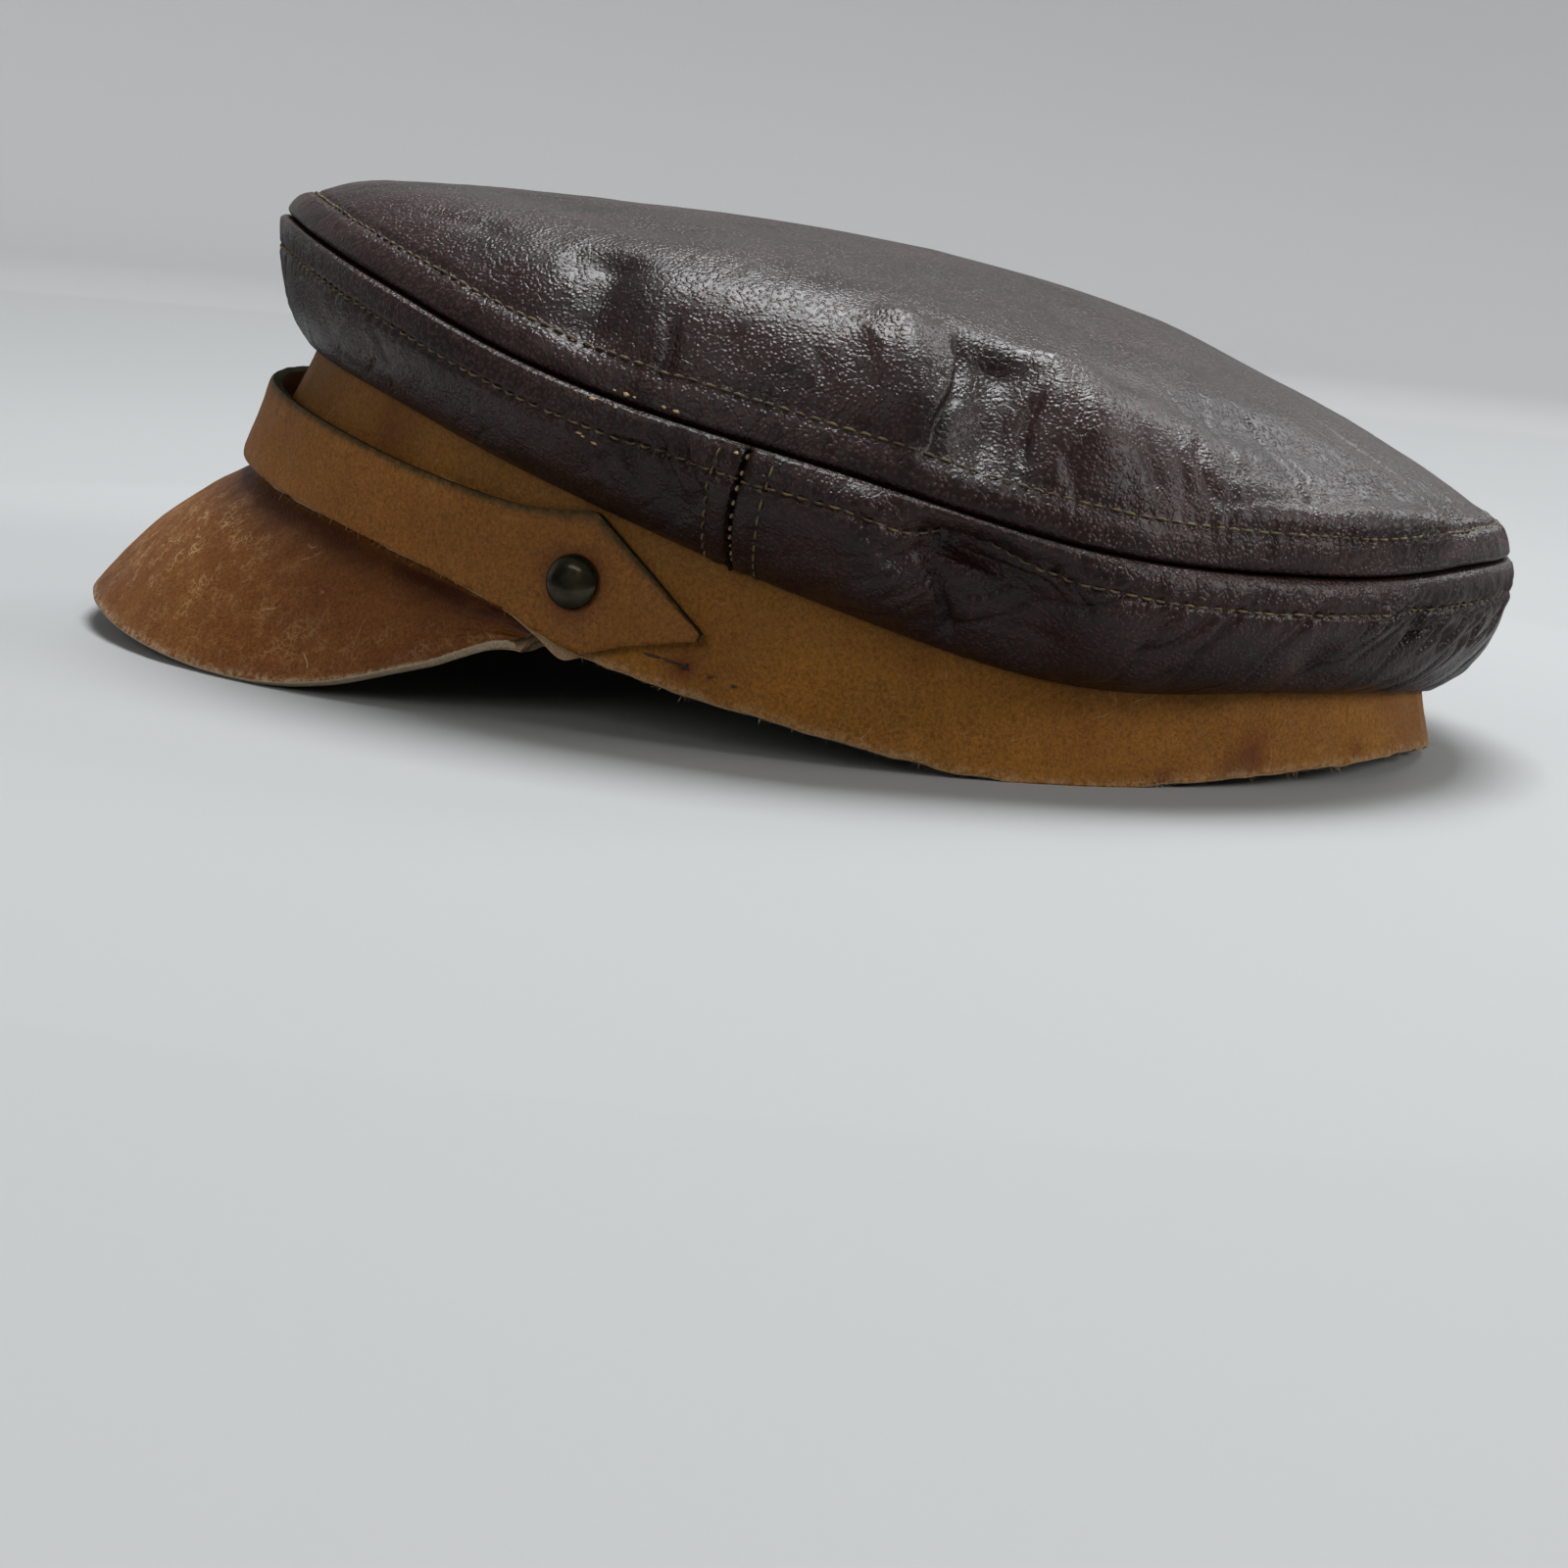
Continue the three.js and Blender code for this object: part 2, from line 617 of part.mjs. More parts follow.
// The cap is tilted on to its rest, centred on its outline and set down so that the leather it
// rests on is pressed flat
const cap = new THREE.Group();
cap.rotation.x = -restTilt(pieces.band[0], pieces.peak[0]);
cap.updateMatrixWorld();
const outline = new THREE.Box3();
for (const [geometry] of Object.values(pieces)) {
  const tilted = geometry.clone().applyMatrix4(cap.matrix);
  outline.union(new THREE.Box3().setFromBufferAttribute(tilted.getAttribute('position')));
}
const middle = outline.getCenter(new THREE.Vector3());
cap.position.set(-middle.x, -middle.y, -outline.min.z - pressFlat);
cap.updateMatrixWorld();

const groundDepth = 20;
const ground = new THREE.BoxGeometry(2 * crownLength, 2 * crownLength, groundDepth);
ground.translate(0, 0, -groundDepth / 2);
ground.applyMatrix4(cap.matrixWorld.clone().invert());
const groundSolid = plainSolid(ground);
for (const name of ['band', 'peak']) pieces[name][0] = cut(pieces[name][0], groundSolid);

for (const [name, [geometry, material]] of Object.entries(pieces)) {
  const mesh = new THREE.Mesh(geometry, material);
  mesh.name = name;
  cap.add(mesh);
}

export default cap;
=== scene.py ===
"""A worn leather newsboy cap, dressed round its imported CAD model.

Sizes are in millimetres in the cap's own frame: +Z up, the peak towards -Y, the wearer's left
towards +X. A turn runs round the cap from 0 degrees at the back, over 90 on the left, to 180 at
the front. to_row() tilts the cap on to its rest and changes to metres.
"""
import math

import bpy
import numpy as np
from mathutils import Matrix, Vector

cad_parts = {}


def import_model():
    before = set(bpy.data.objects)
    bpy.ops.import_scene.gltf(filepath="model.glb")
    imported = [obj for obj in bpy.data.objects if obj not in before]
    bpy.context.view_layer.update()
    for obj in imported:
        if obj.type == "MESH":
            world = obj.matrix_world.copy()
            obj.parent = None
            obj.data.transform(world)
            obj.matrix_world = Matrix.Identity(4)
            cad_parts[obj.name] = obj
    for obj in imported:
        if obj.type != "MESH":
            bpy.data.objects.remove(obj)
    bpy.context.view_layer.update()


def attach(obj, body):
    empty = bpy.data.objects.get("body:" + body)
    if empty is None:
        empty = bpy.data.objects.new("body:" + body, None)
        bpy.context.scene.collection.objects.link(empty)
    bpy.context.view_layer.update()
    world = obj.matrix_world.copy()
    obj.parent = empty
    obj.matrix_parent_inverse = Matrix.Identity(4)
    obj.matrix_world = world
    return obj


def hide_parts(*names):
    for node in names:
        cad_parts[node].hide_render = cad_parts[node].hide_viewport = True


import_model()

# Rest: the tilt that levels the rim of the peak with the back of the hem
REST_TILT = 9.784
REST_PLACE = (-0.734, 6.628, 7.282)

# Plan ovals
EGG = 0.03
BAND_LENGTH = 204.4
BAND_WIDTH = 168.0
BAND_CENTRE = 0.2
CROWN_LENGTH = 210.5
CROWN_WIDTH = 190.0

# Band
BAND_HEIGHT = 28.0
BAND_WALL = 2.3
BAND_FLARE = 28.0
BAND_STRAIGHTEN = 0.35
HEM_HEIGHT = 13.0
HEM_SAG = 14.8

# Crown
CROWN_RISE = 22.0
CROWN_WALL = 1.6
SEAM_HEIGHT = 46.0
SEAM_SAG = 10.5
SEAM_ROLL = 1.4
SEAM_LIP = 0.9
SIDE_SWELL = 5.5
FOOT_HEIGHT = 27.0
FOOT_SAG = 12.3
SIDE_SEAM_TURN = 96.5

# Peak
PEAK_WIDTH = 152.0
PEAK_REACH = 20.4
PEAK_CENTRE = 44.0
PEAK_DROP = 28.3
PEAK_WALL = 2.0
PEAK_ARCH = 3.4
PEAK_ROOT_TURN = 111.5
PEAK_RIM_TURN = 87.0
FLANGE_HEIGHT = 8.0
PEAK_ROOT_GAP = 0.7
PEAK_UNDERCUT = 0.6
PEAK_SKIVED = 0.42

# Strap
STRAP_WIDTH = 14.0
STRAP_WALL = 2.0
STRAP_MIDDLE = 10.6
STRAP_SPRING = 2.4
STRAP_TIP_TURN = 97.3

# Rivets
RIVET_TURN = 109.0
RIVET_UP = 9.4
RIVET_WIDTH = 8.3
RIVET_DOME = 2.1
RIVET_BACK_WIDTH = 8.3
RIVET_BACK_WALL = 0.8
RIVET_SIDES = 48

CLEARANCE = 0.3

# Camera: the photograph's angle, with the place in millimetres in the row frame
CAMERA_PLACE = (512.9, 47.4, 78.4)
CAMERA_AZIMUTH = 95.07
CAMERA_ELEVATION = 10.70
CAMERA_ROLL = 5.46
CAMERA_LENS = 69.43

# Thread
STITCH_ROW = 5.0
STITCH_PITCH = 2.4
STITCH_LENGTH = 1.75
THREAD_WIDTH = 0.42
THREAD_RINGS = 6
THREAD_SIDES = 6
SIDE_ROW = 3.8

# The lines round the cap: shares of the seam's, the foot's and the hem's sag, of the band's flare
# and of the side's swell
AROUND = {
    "turn": (0, 22.5, 45, 67.5, 90, 107, 118, 135, 157.5, 180),
    "seam": (0.10, 0.17, 0.65, 1.00, 0.86, 0.81, 0.67, 0.30, 0.00, 0.05),
    "foot": (0.53, 0.41, 0.58, 1.00, 0.79, 0.51, 0.33, 0.08, 0.00, 0.08),
    "hem": (0.07, 0.03, 0.38, 0.92, 0.96, 0.91, 0.66, 0.54, 0.52, 0.51),
    "flare": (1.00, 0.85, 0.50, 0.28, 0.22, 0.24, 0.29, 0.42, 0.70, 0.84),
    "swell": (0.70, 0.80, 1.00, 1.00, 1.00, 0.90, 0.79, 0.60, 0.42, 0.38),
}

# Rise of the top from its middle to the seam
DOME = {
    "share": (0.00, 0.20, 0.40, 0.60, 0.80, 0.90, 0.96, 1.00),
    "back": (1.000, 0.995, 0.910, 0.715, 0.460, 0.295, 0.155, 0.000),
    "side": (1.000, 0.975, 0.920, 0.850, 0.755, 0.590, 0.340, 0.000),
    "front": (1.000, 0.915, 0.790, 0.640, 0.450, 0.320, 0.155, 0.000),
}

# Swell of the side from the seam to its foot
SIDE = {
    "fall": (0.00, 0.15, 0.38, 0.60, 0.78, 0.91, 1.00),
    "swell": (0.00, 0.52, 1.00, 1.03, 0.85, 0.46, 0.00),
}

# Rim of the peak from its end at the side to its tip
PEAK = {
    "share": (0.00, 0.10, 0.22, 0.33, 0.50, 0.75, 1.00),
    "drop": (0.293, 0.526, 0.797, 0.937, 1.010, 1.020, 1.000),
    "flange": (0.30, 0.70, 1.00, 1.00, 1.00, 1.00, 1.00),
    "arch": (0.0, 0.2, 0.5, 0.8, 1.0, 1.0, 1.0),
}

# Edges of the strap from its tip to the front
STRAP = {
    "share": (0.00, 0.07, 0.136, 0.175, 0.22, 0.28, 0.38, 0.55, 1.00),
    "over": (-0.40, 0.52, 1.32, 1.18, 1.00, 0.94, 0.95, 1.05, 1.12),
    "under": (0.56, 1.10, 1.82, 1.55, 1.24, 0.98, 0.86, 0.78, 0.76),
    "spring": (0.0, 0.0, 0.0, 0.0, 0.1, 0.3, 0.6, 0.9, 1.0),
}

# Main dents, close to those in the CAD model: a line from A to B as turns and shares, then the
# depth as a share of the crown's rise, and the spread as a share of its half length
TOP_DENTS = (
    (79, 0.885, 79, 0.955, 0.15, 0.060),
    (88, 0.86, 85, 0.95, -0.10, 0.050),
    (72, 0.84, 70, 0.93, -0.09, 0.060),
    (115, 0.90, 113, 0.97, 0.10, 0.050),
    (62, 0.80, 48, 0.84, 0.07, 0.110),
    (56, 0.965, 32, 0.96, -0.11, 0.045),
    (128, 0.70, 150, 0.66, 0.05, 0.130),
    (-68, 0.88, -66, 0.97, 0.18, 0.080),
    (-96, 0.89, -98, 0.96, 0.12, 0.070),
    (-48, 0.80, -36, 0.84, 0.10, 0.080),
)
SIDE_DENTS = (
    (79, 0.22, 73, 0.52, 0.24, 0.062),
    (88, 0.30, 85, 0.62, -0.07, 0.050),
    (68, 0.55, 63, 0.70, -0.06, 0.060),
    (82, 0.40, 79, 0.88, 0.09, 0.030),
    (104, 0.30, 101, 0.60, 0.08, 0.035),
    (46, 0.70, 36, 0.45, 0.08, 0.045),
    (-70, 0.25, -64, 0.60, 0.17, 0.065),
    (-118, 0.40, -112, 0.70, 0.09, 0.050),
)

# Creases: points as turns and shares, then depth, width and the height of the ridge on the side
# towards the front, in millimetres
TOP_CREASES = (
    (((83, 0.85), (82, 0.90), (82, 0.935), (83, 0.965), (83.5, 0.985)), 1.9, 1.0, 0.9),
    (((75, 0.90), (76, 0.94), (76, 0.975)), 1.1, 0.9, 0.4),
    (((91, 0.88), (89, 0.92), (88, 0.95)), -0.6, 2.0, 0.0),
    (((94, 0.935), (92.5, 0.965)), 0.5, 0.9, 0.2),
    (((106.5, 0.945), (105.5, 0.97), (105, 0.995)), 1.2, 1.0, 0.7),
    (((110, 0.945), (110.5, 0.975)), 0.4, 1.0, 0.2),
    (((101, 0.93), (100, 0.975)), 0.35, 1.3, 0.0),
    (((59, 0.88), (60, 0.93), (59, 0.965)), 0.7, 1.0, 0.3),
    (((66, 0.895), (65, 0.94), (64, 0.97)), 0.6, 1.3, 0.2),
    (((53, 0.87), (54, 0.93)), 0.4, 1.0, 0.2),
    (((47, 0.85), (47, 0.91), (48, 0.945)), 0.7, 0.9, 0.3),
    (((41, 0.89), (41, 0.94)), 0.5, 0.9, 0.3),
    (((73, 0.955), (71, 0.98)), 0.5, 1.0, 0.2),
    (((62, 0.965), (53, 0.955), (43, 0.945)), 0.9, 2.6, 0.0),
    (((69, 0.84), (63, 0.82), (52, 0.76), (44, 0.77)), -0.4, 5.0, 0.0),
    (((125, 0.91), (132, 0.90), (140, 0.92)), 0.5, 2.4, 0.0),
    (((120, 0.88), (117, 0.93)), 0.4, 1.8, 0.0),
    (((-66, 0.87), (-67, 0.93), (-66, 0.975)), 1.3, 1.1, 0.6),
    (((-97, 0.90), (-98, 0.96)), 0.8, 1.1, 0.3),
    (((-52, 0.88), (-51, 0.95)), 0.6, 1.0, 0.3),
    (((-120, 0.93), (-118, 0.975)), 0.5, 1.0, 0.2),
    (((20, 0.86), (21, 0.95)), 0.4, 1.1, 0.2),
    (((-12, 0.88), (-11, 0.96)), 0.4, 1.1, 0.2),
    (((-30, 0.87), (-30, 0.95)), 0.5, 1.1, 0.2),
)
SIDE_CREASES = (
    (((81, 0.17), (79, 0.21), (76, 0.27), (72, 0.31), (69.5, 0.42)), 1.3, 1.1, 0.0),
    (((72.5, 0.12), (70, 0.28), (68, 0.46)), 0.8, 0.9, 0.3),
    (((82, 0.30), (81, 0.55), (79, 0.82), (78, 0.93)), 1.0, 0.7, 0.5),
    (((102, 0.05), (101, 0.24), (99.3, 0.45), (99, 0.60)), 1.3, 0.8, 0.6),
    (((104, 0.10), (102.5, 0.31), (101, 0.52)), 1.0, 0.8, 0.5),
    (((107, 0.22), (105, 0.45), (103.5, 0.62)), 0.8, 0.8, 0.4),
    (((60, 0.84), (59, 0.57), (57, 0.32), (55, 0.15)), 0.9, 0.8, 0.4),
    (((53, 0.80), (52, 0.55), (50, 0.33), (47, 0.14)), 0.9, 0.7, 0.45),
    (((46, 0.86), (44, 0.53), (40, 0.29), (36, 0.12)), 1.0, 0.7, 0.5),
    (((38, 0.84), (36, 0.54), (31, 0.28)), 0.9, 0.7, 0.45),
    (((30, 0.80), (27, 0.50), (22, 0.25)), 0.7, 0.8, 0.35),
    (((65, 0.90), (64, 0.62), (62.5, 0.45)), 0.6, 0.8, 0.3),
    (((77, 0.73), (73, 0.76), (69, 0.68)), 0.5, 1.6, 0.0),
    (((110, 0.25), (108, 0.52), (106, 0.72)), 0.6, 0.9, 0.3),
    (((89, 0.40), (88, 0.74)), 0.35, 0.9, 0.2),
    (((88, 0.18), (85, 0.40), (83, 0.55)), 0.45, 1.2, 0.2),
    (((92, 0.30), (90.5, 0.60)), 0.3, 0.8, 0.15),
    (((120, 0.45), (117, 0.75)), 0.3, 0.9, 0.1),
    (((134, 0.35), (131, 0.70)), 0.3, 1.0, 0.1),
    (((-70, 0.15), (-68, 0.45), (-69, 0.85)), 0.9, 0.9, 0.4),
    (((-60, 0.80), (-56, 0.30)), 0.5, 0.7, 0.2),
    (((-45, 0.82), (-40, 0.28)), 0.5, 0.7, 0.2),
    (((-30, 0.80), (-24, 0.30)), 0.45, 0.7, 0.2),
    (((-103, 0.12), (-100.5, 0.55)), 0.7, 0.8, 0.3),
    (((-118, 0.30), (-114, 0.75)), 0.5, 0.9, 0.2),
    (((10, 0.82), (5, 0.30)), 0.35, 0.8, 0.1),
    (((-12, 0.80), (-8, 0.35)), 0.35, 0.8, 0.1),
)

# Dark stains on the band: turn, height, size in millimetres and strength
BAND_STAINS = (
    (55.8, 0.6, 1.8, 0.7),
    (47.0, 3.0, 3.4, 0.9),
    (49.5, 1.2, 2.0, 0.6),
    (32.2, 1.1, 1.5, 0.8),
    (25.0, 12.0, 5.0, 0.5),
    (64.0, 8.0, 7.0, 0.3),
    (98.3, 3.6, 2.0, 0.8),
    (96.0, 6.0, 7.0, 0.3),
    (134.0, 17.0, 6.0, 0.7),
)

# Ends of old thread in the band: turn and height of each end
OLD_THREADS = (
    (101.7, 3.6, 100.3, 3.8),
    (100.1, 3.8, 99.0, 3.8),
    (98.9, 3.8, 97.7, 3.5),
    (98.3, 3.2, 97.9, 4.3),
    (96.1, 3.2, 95.6, 3.6),
    (93.9, 3.0, 93.5, 3.2),
)

# Places where the crown's finish has chipped: the piece, the turn, the distance from the seam, and
# the chip's length and width
CHIPS = (
    ("top", 108.4, 0.2, 0.7, 0.4),
    ("top", 107.2, 0.0, 1.5, 0.7),
    ("top", 106.5, 0.4, 0.7, 0.4),
    ("top", 104.2, 0.0, 1.0, 0.6),
    ("top", 103.0, 0.0, 1.5, 0.6),
    ("side", 109.5, 0.9, 1.5, 0.6),
    ("side", 107.6, 0.9, 0.8, 0.4),
    ("side", 109.6, 6.0, 1.5, 0.4),
    ("side", 108.1, 6.6, 1.9, 0.5),
    ("side", 109.3, 6.5, 0.9, 0.4),
    ("side", 97.3, 1.6, 0.9, 0.6),
)
CHIP_CORNERS = 11


# Tables, noise and places


def smooth(value, low, high):
    share = np.clip((value - low) / (high - low), 0, 1)
    return share * share * (3 - 2 * share)


def bell(distance, width):
    """1 where the distance is 0, falling off on both sides over the width."""
    return np.exp(-(distance / width) ** 2)


def runs(*parts):
    """Even steps from start to end for each part: its start, its end and its count."""
    return np.concatenate([np.linspace(*part) for part in parts])


def grid(rows, columns):
    return np.meshgrid(rows, columns, indexing="ij")


def read(table, column, at, level_ends=True):
    """A column read between a table's rows, on a curve that runs smoothly through them."""
    keys = np.array(next(iter(table.values())), float)
    values = np.array(table[column], float)
    slopes = np.gradient(values, keys)
    slopes[1:-1] = (values[2:] - values[:-2]) / (keys[2:] - keys[:-2])
    if level_ends:
        slopes[[0, -1]] = 0
    at = np.asarray(at, float)
    row = np.clip(np.searchsorted(keys, at) - 1, 0, len(keys) - 2)
    width = keys[row + 1] - keys[row]
    s = (at - keys[row]) / width
    return (
        values[row] * (1 + 2 * s) * (1 - s) ** 2
        + slopes[row] * width * s * (1 - s) ** 2
        + values[row + 1] * (3 - 2 * s) * s ** 2
        - slopes[row + 1] * width * (1 - s) * s ** 2
    )


def turn_from(start, turn):
    """The way from one turn to another, from -180 to 180 degrees."""
    return (turn - start + 180) % 360 - 180


def folded(turn):
    return np.abs(turn_from(0, np.asarray(turn)))


def around(column, turn):
    return read(AROUND, column, folded(turn))


def seam_line(turn):
    return SEAM_HEIGHT - SEAM_SAG * around("seam", turn)


def foot_line(turn):
    return FOOT_HEIGHT - FOOT_SAG * around("foot", turn)


def hem_line(turn):
    return HEM_HEIGHT - HEM_SAG * around("hem", turn)


def arc(degrees):
    """The way round the crown's seam that a turn covers."""
    return np.radians(degrees) * (CROWN_LENGTH + CROWN_WIDTH) / 4


def noise(x, y, seed, octaves=1, wrap=256):
    """Smooth noise from -1 to 1. It repeats along x every wrap steps."""
    total = np.zeros(np.broadcast(x, y).shape)
    for octave in range(octaves):
        lattice = np.random.default_rng(seed + octave).uniform(-1, 1, (256, 256))
        u = np.asarray(x) * 2 ** octave
        v = np.asarray(y) * 2 ** octave
        i = np.floor(u).astype(int)
        j = np.floor(v).astype(int)
        s = smooth(u - i, 0, 1)
        t = smooth(v - j, 0, 1)
        period = wrap * 2 ** octave
        corner = [
            [lattice[(i + a) % period % 256, (j + b) % 256] for b in (0, 1)]
            for a in (0, 1)
        ]
        low = corner[0][0] * (1 - t) + corner[0][1] * t
        high = corner[1][0] * (1 - t) + corner[1][1] * t
        total += (low * (1 - s) + high * s) * 0.5 ** octave
    return total


def ring_noise(turn, size, y, seed, octaves=1):
    """Noise round the cap, with features of size millimetres, that meets itself at the back."""
    steps = round(float(arc(360)) / size)
    return noise(turn / 360 * steps, y, seed, octaves, steps)


def folds(field):
    """Thin creases that wander along the lines where a noise field is zero; -1 in each crease."""
    return -bell(field, 0.12)


def towards_back(turn):
    """1 at the back of the cap, falling to 0 past its sides."""
    return smooth(np.cos(np.radians(turn)), -0.6, 0.9)


def to_row(points):
    """From the cap's frame in millimetres to the row frame in metres, pressed flat on the floor."""
    tilt = math.radians(REST_TILT)
    x, y, z = np.moveaxis(np.asarray(points, float), -1, 0)
    row = np.stack([
        x + REST_PLACE[0],
        y * math.cos(tilt) + z * math.sin(tilt) + REST_PLACE[1],
        z * math.cos(tilt) - y * math.sin(tilt) + REST_PLACE[2],
    ], -1)
    row[..., 2] = np.maximum(row[..., 2], 0)
    return row / 1000


# Surfaces of the CAD model


def unit(vectors):
    return vectors / np.maximum(np.linalg.norm(vectors, axis=-1, keepdims=True), 1e-9)


def oval_point(turn, length, width, height):
    angle = np.radians(turn)
    x = width / 2 * np.sin(angle) * (1 + EGG * np.cos(angle))
    y = length / 2 * np.cos(angle)
    return np.stack(np.broadcast_arrays(x, y, height), -1).astype(float)


def oval_outward(turn, length, width):
    step = 0.5
    along = oval_point(turn + step, length, width, 0) - oval_point(turn - step, length, width, 0)
    outward = np.stack([-along[..., 1], along[..., 0], 0 * along[..., 0]], -1)
    return unit(outward)


def normal_of(skin, down, turn):
    step_down = 0.004
    step_turn = 0.5
    place = np.maximum(down, step_down)
    high = skin(np.maximum(place - step_down, step_down / 2), turn)
    low = skin(np.minimum(place + step_down, 1), turn)
    across = skin(place, turn + step_turn) - skin(place, turn - step_turn)
    return unit(np.cross(across, low - high))


def dent_depth(dents, turn, share, share_length):
    """Depth at each place of all the dents in a list."""
    depth = 0
    for turn_a, share_a, turn_b, share_b, deep, spread in dents:
        x = arc(turn_from(turn_a, turn))
        y = (share - share_a) * share_length
        line_x = arc(turn_b - turn_a)
        line_y = (share_b - share_a) * share_length
        along = np.clip((x * line_x + y * line_y) / (line_x ** 2 + line_y ** 2), 0, 1)
        distance = np.hypot(x - line_x * along, y - line_y * along)
        depth += deep * CROWN_RISE * bell(distance, spread * CROWN_LENGTH / 2)
    return depth


def band_point(turn, up):
    slope = np.tan(np.radians(BAND_FLARE * around("flare", turn)))
    inset = slope * up * (1 - BAND_STRAIGHTEN * up / BAND_HEIGHT)
    point = oval_point(turn, BAND_LENGTH, BAND_WIDTH, hem_line(turn) + up)
    point[..., 1] += BAND_CENTRE
    return point - oval_outward(turn, BAND_LENGTH, BAND_WIDTH) * inset[..., None]


def band_normal(turn, up):
    def skin(down, at):
        return band_point(at, BAND_HEIGHT * (1 - down))
    return normal_of(skin, 1 - np.asarray(up) / BAND_HEIGHT, turn)


def plain_top(share, turn):
    angle = np.radians(turn)
    weights = {
        "back": np.maximum(np.cos(angle), 0) ** 2,
        "side": np.sin(angle) ** 2,
        "front": np.maximum(-np.cos(angle), 0) ** 2,
    }
    rise = sum(weights[name] * read(DOME, name, share, False) for name in weights)
    edge = seam_line(turn) + SEAM_ROLL
    height = edge + (SEAM_HEIGHT + CROWN_RISE - edge) * rise
    return oval_point(turn, CROWN_LENGTH * share, CROWN_WIDTH * share, height)


def top_skin(share, turn):
    fade = smooth(1 - share, 0, 0.03)
    depth = dent_depth(TOP_DENTS, turn, share, CROWN_WIDTH) * fade
    return plain_top(share, turn) - normal_of(plain_top, share, turn) * depth[..., None]


def plain_side(fall, turn):
    outward = oval_outward(turn, CROWN_LENGTH, CROWN_WIDTH)
    head = oval_point(turn, CROWN_LENGTH, CROWN_WIDTH, seam_line(turn) - CLEARANCE / 2)
    head = head + outward * (SEAM_LIP * (1 - smooth(fall, 0, 0.2)))[..., None]
    foot = band_point(turn, foot_line(turn) - hem_line(turn))
    foot = foot + outward * (CLEARANCE + CROWN_WALL)
    swell = SIDE_SWELL * around("swell", turn) * read(SIDE, "swell", fall, False)
    share = np.asarray(fall)[..., None]
    return head * (1 - share) + foot * share + outward * swell[..., None]


def side_skin(fall, turn):
    fade = smooth(fall, 0, 0.14) * smooth(1 - fall, 0, 0.16)
    depth = dent_depth(SIDE_DENTS, turn, fall, SEAM_HEIGHT - FOOT_HEIGHT) * fade
    return plain_side(fall, turn) - normal_of(plain_side, fall, turn) * depth[..., None]


# Meshes

# Rows of points round a cut edge
EDGE_ROWS = 4


def link(name, data):
    piece = bpy.data.objects.new(name, data)
    bpy.context.scene.collection.objects.link(piece)
    return piece


def mesh_object(name, points, faces, material, rounded):
    """A mesh from a list of points in metres."""
    mesh = bpy.data.meshes.new(name)
    mesh.from_pydata(points, [], faces)
    mesh.validate()
    mesh.polygons.foreach_set("use_smooth", [rounded] * len(mesh.polygons))
    mesh.materials.append(material)
    return link(name, mesh)


def new_piece(name, points, faces, material):
    """A piece of the cap, from points in the cap's frame."""
    piece = mesh_object(name, to_row(points).reshape(-1, 3).tolist(), faces, material, True)
    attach(piece, "root")
    return piece


def paint(piece, **columns):
    """Keeps values for each vertex, which the materials read by name."""
    for name, values in columns.items():
        layer = piece.data.attributes.new(name, "FLOAT", "POINT")
        layer.data.foreach_set("value", np.asarray(values, np.float32).ravel())


def grid_faces(rows, columns, closed_columns, closed_rows=False):
    """Quads of a grid of points; seen from outside, rows run down and turns run to the right."""
    corner = np.arange(rows * columns).reshape(rows, columns)
    corner = np.pad(corner, ((0, int(closed_rows)), (0, int(closed_columns))), "wrap")
    quads = np.stack([corner[:-1, :-1], corner[:-1, 1:], corner[1:, 1:], corner[1:, :-1]], -1)
    return quads.reshape(-1, 4)


def grid_normals(points, closed):
    """Outward normals of a grid of points."""
    across = np.gradient(points, axis=1)
    if closed:
        across = np.roll(points, -1, axis=1) - np.roll(points, 1, axis=1)
    return unit(np.cross(across, np.gradient(points, axis=0)))


def cut_edge(outer, inner, outward, fullness):
    """Rows of a cut edge between the last rows of two faces, rounded outwards."""
    reach = np.linalg.norm(outer - inner, axis=-1, keepdims=True) / 2
    rows = []
    for angle in np.linspace(0, math.pi, EDGE_ROWS + 2)[1:-1]:
        across = (1 - math.copysign(abs(math.cos(angle)) ** 0.6, math.cos(angle))) / 2
        bulge = fullness * reach * math.sin(angle) ** 0.6
        rows.append(outer * (1 - across) + inner * across + outward * bulge)
    return rows


def wall_piece(name, outer, inner, closed, material, slot, fullness=0.35, **painted):
    """A leather wall between an outer and an inner grid, with rounded cut edges. The grids have
    the same columns. painted gives a value for each point of the outer grid."""
    foot = cut_edge(outer[-1], inner[-1], unit(outer[-1] - outer[-2]), fullness)
    head = cut_edge(inner[0], outer[0], unit(outer[0] - outer[1]), fullness)
    loop = np.concatenate([outer, foot, inner[::-1], head])
    rows, columns = loop.shape[:2]
    faces = grid_faces(rows, columns, closed, closed_rows=True).tolist()
    if not closed:
        faces.append([row * columns for row in range(rows)])
        faces.append([row * columns + columns - 1 for row in reversed(range(rows))])
    piece = new_piece(name, loop, faces, material)
    edge, lower, flesh = np.zeros((3, rows, columns))
    foot_end = len(outer) + EDGE_ROWS
    head_start = rows - EDGE_ROWS
    lower[len(outer):foot_end] = 1
    flesh[foot_end:head_start] = 1
    edge[len(outer):foot_end] = 1
    edge[head_start:] = 1
    if not closed:
        edge[:len(outer), [0, -1]] = 1
    for key, values in painted.items():
        painted[key] = np.concatenate([values, np.repeat(values[-1:], rows - len(values), 0)])
    paint(piece, edge=edge, lower=lower, flesh=flesh, **painted)
    return piece


def tube(centres, radii, across, upright, sides):
    """Rings of points about a line of centres, with a radius for each."""
    angle = 2 * math.pi * np.arange(sides)[:, None] / sides
    spokes = across * np.cos(angle) + upright * np.sin(angle)
    return (centres[:, None] + radii[..., None] * spokes).reshape(-1, 3)


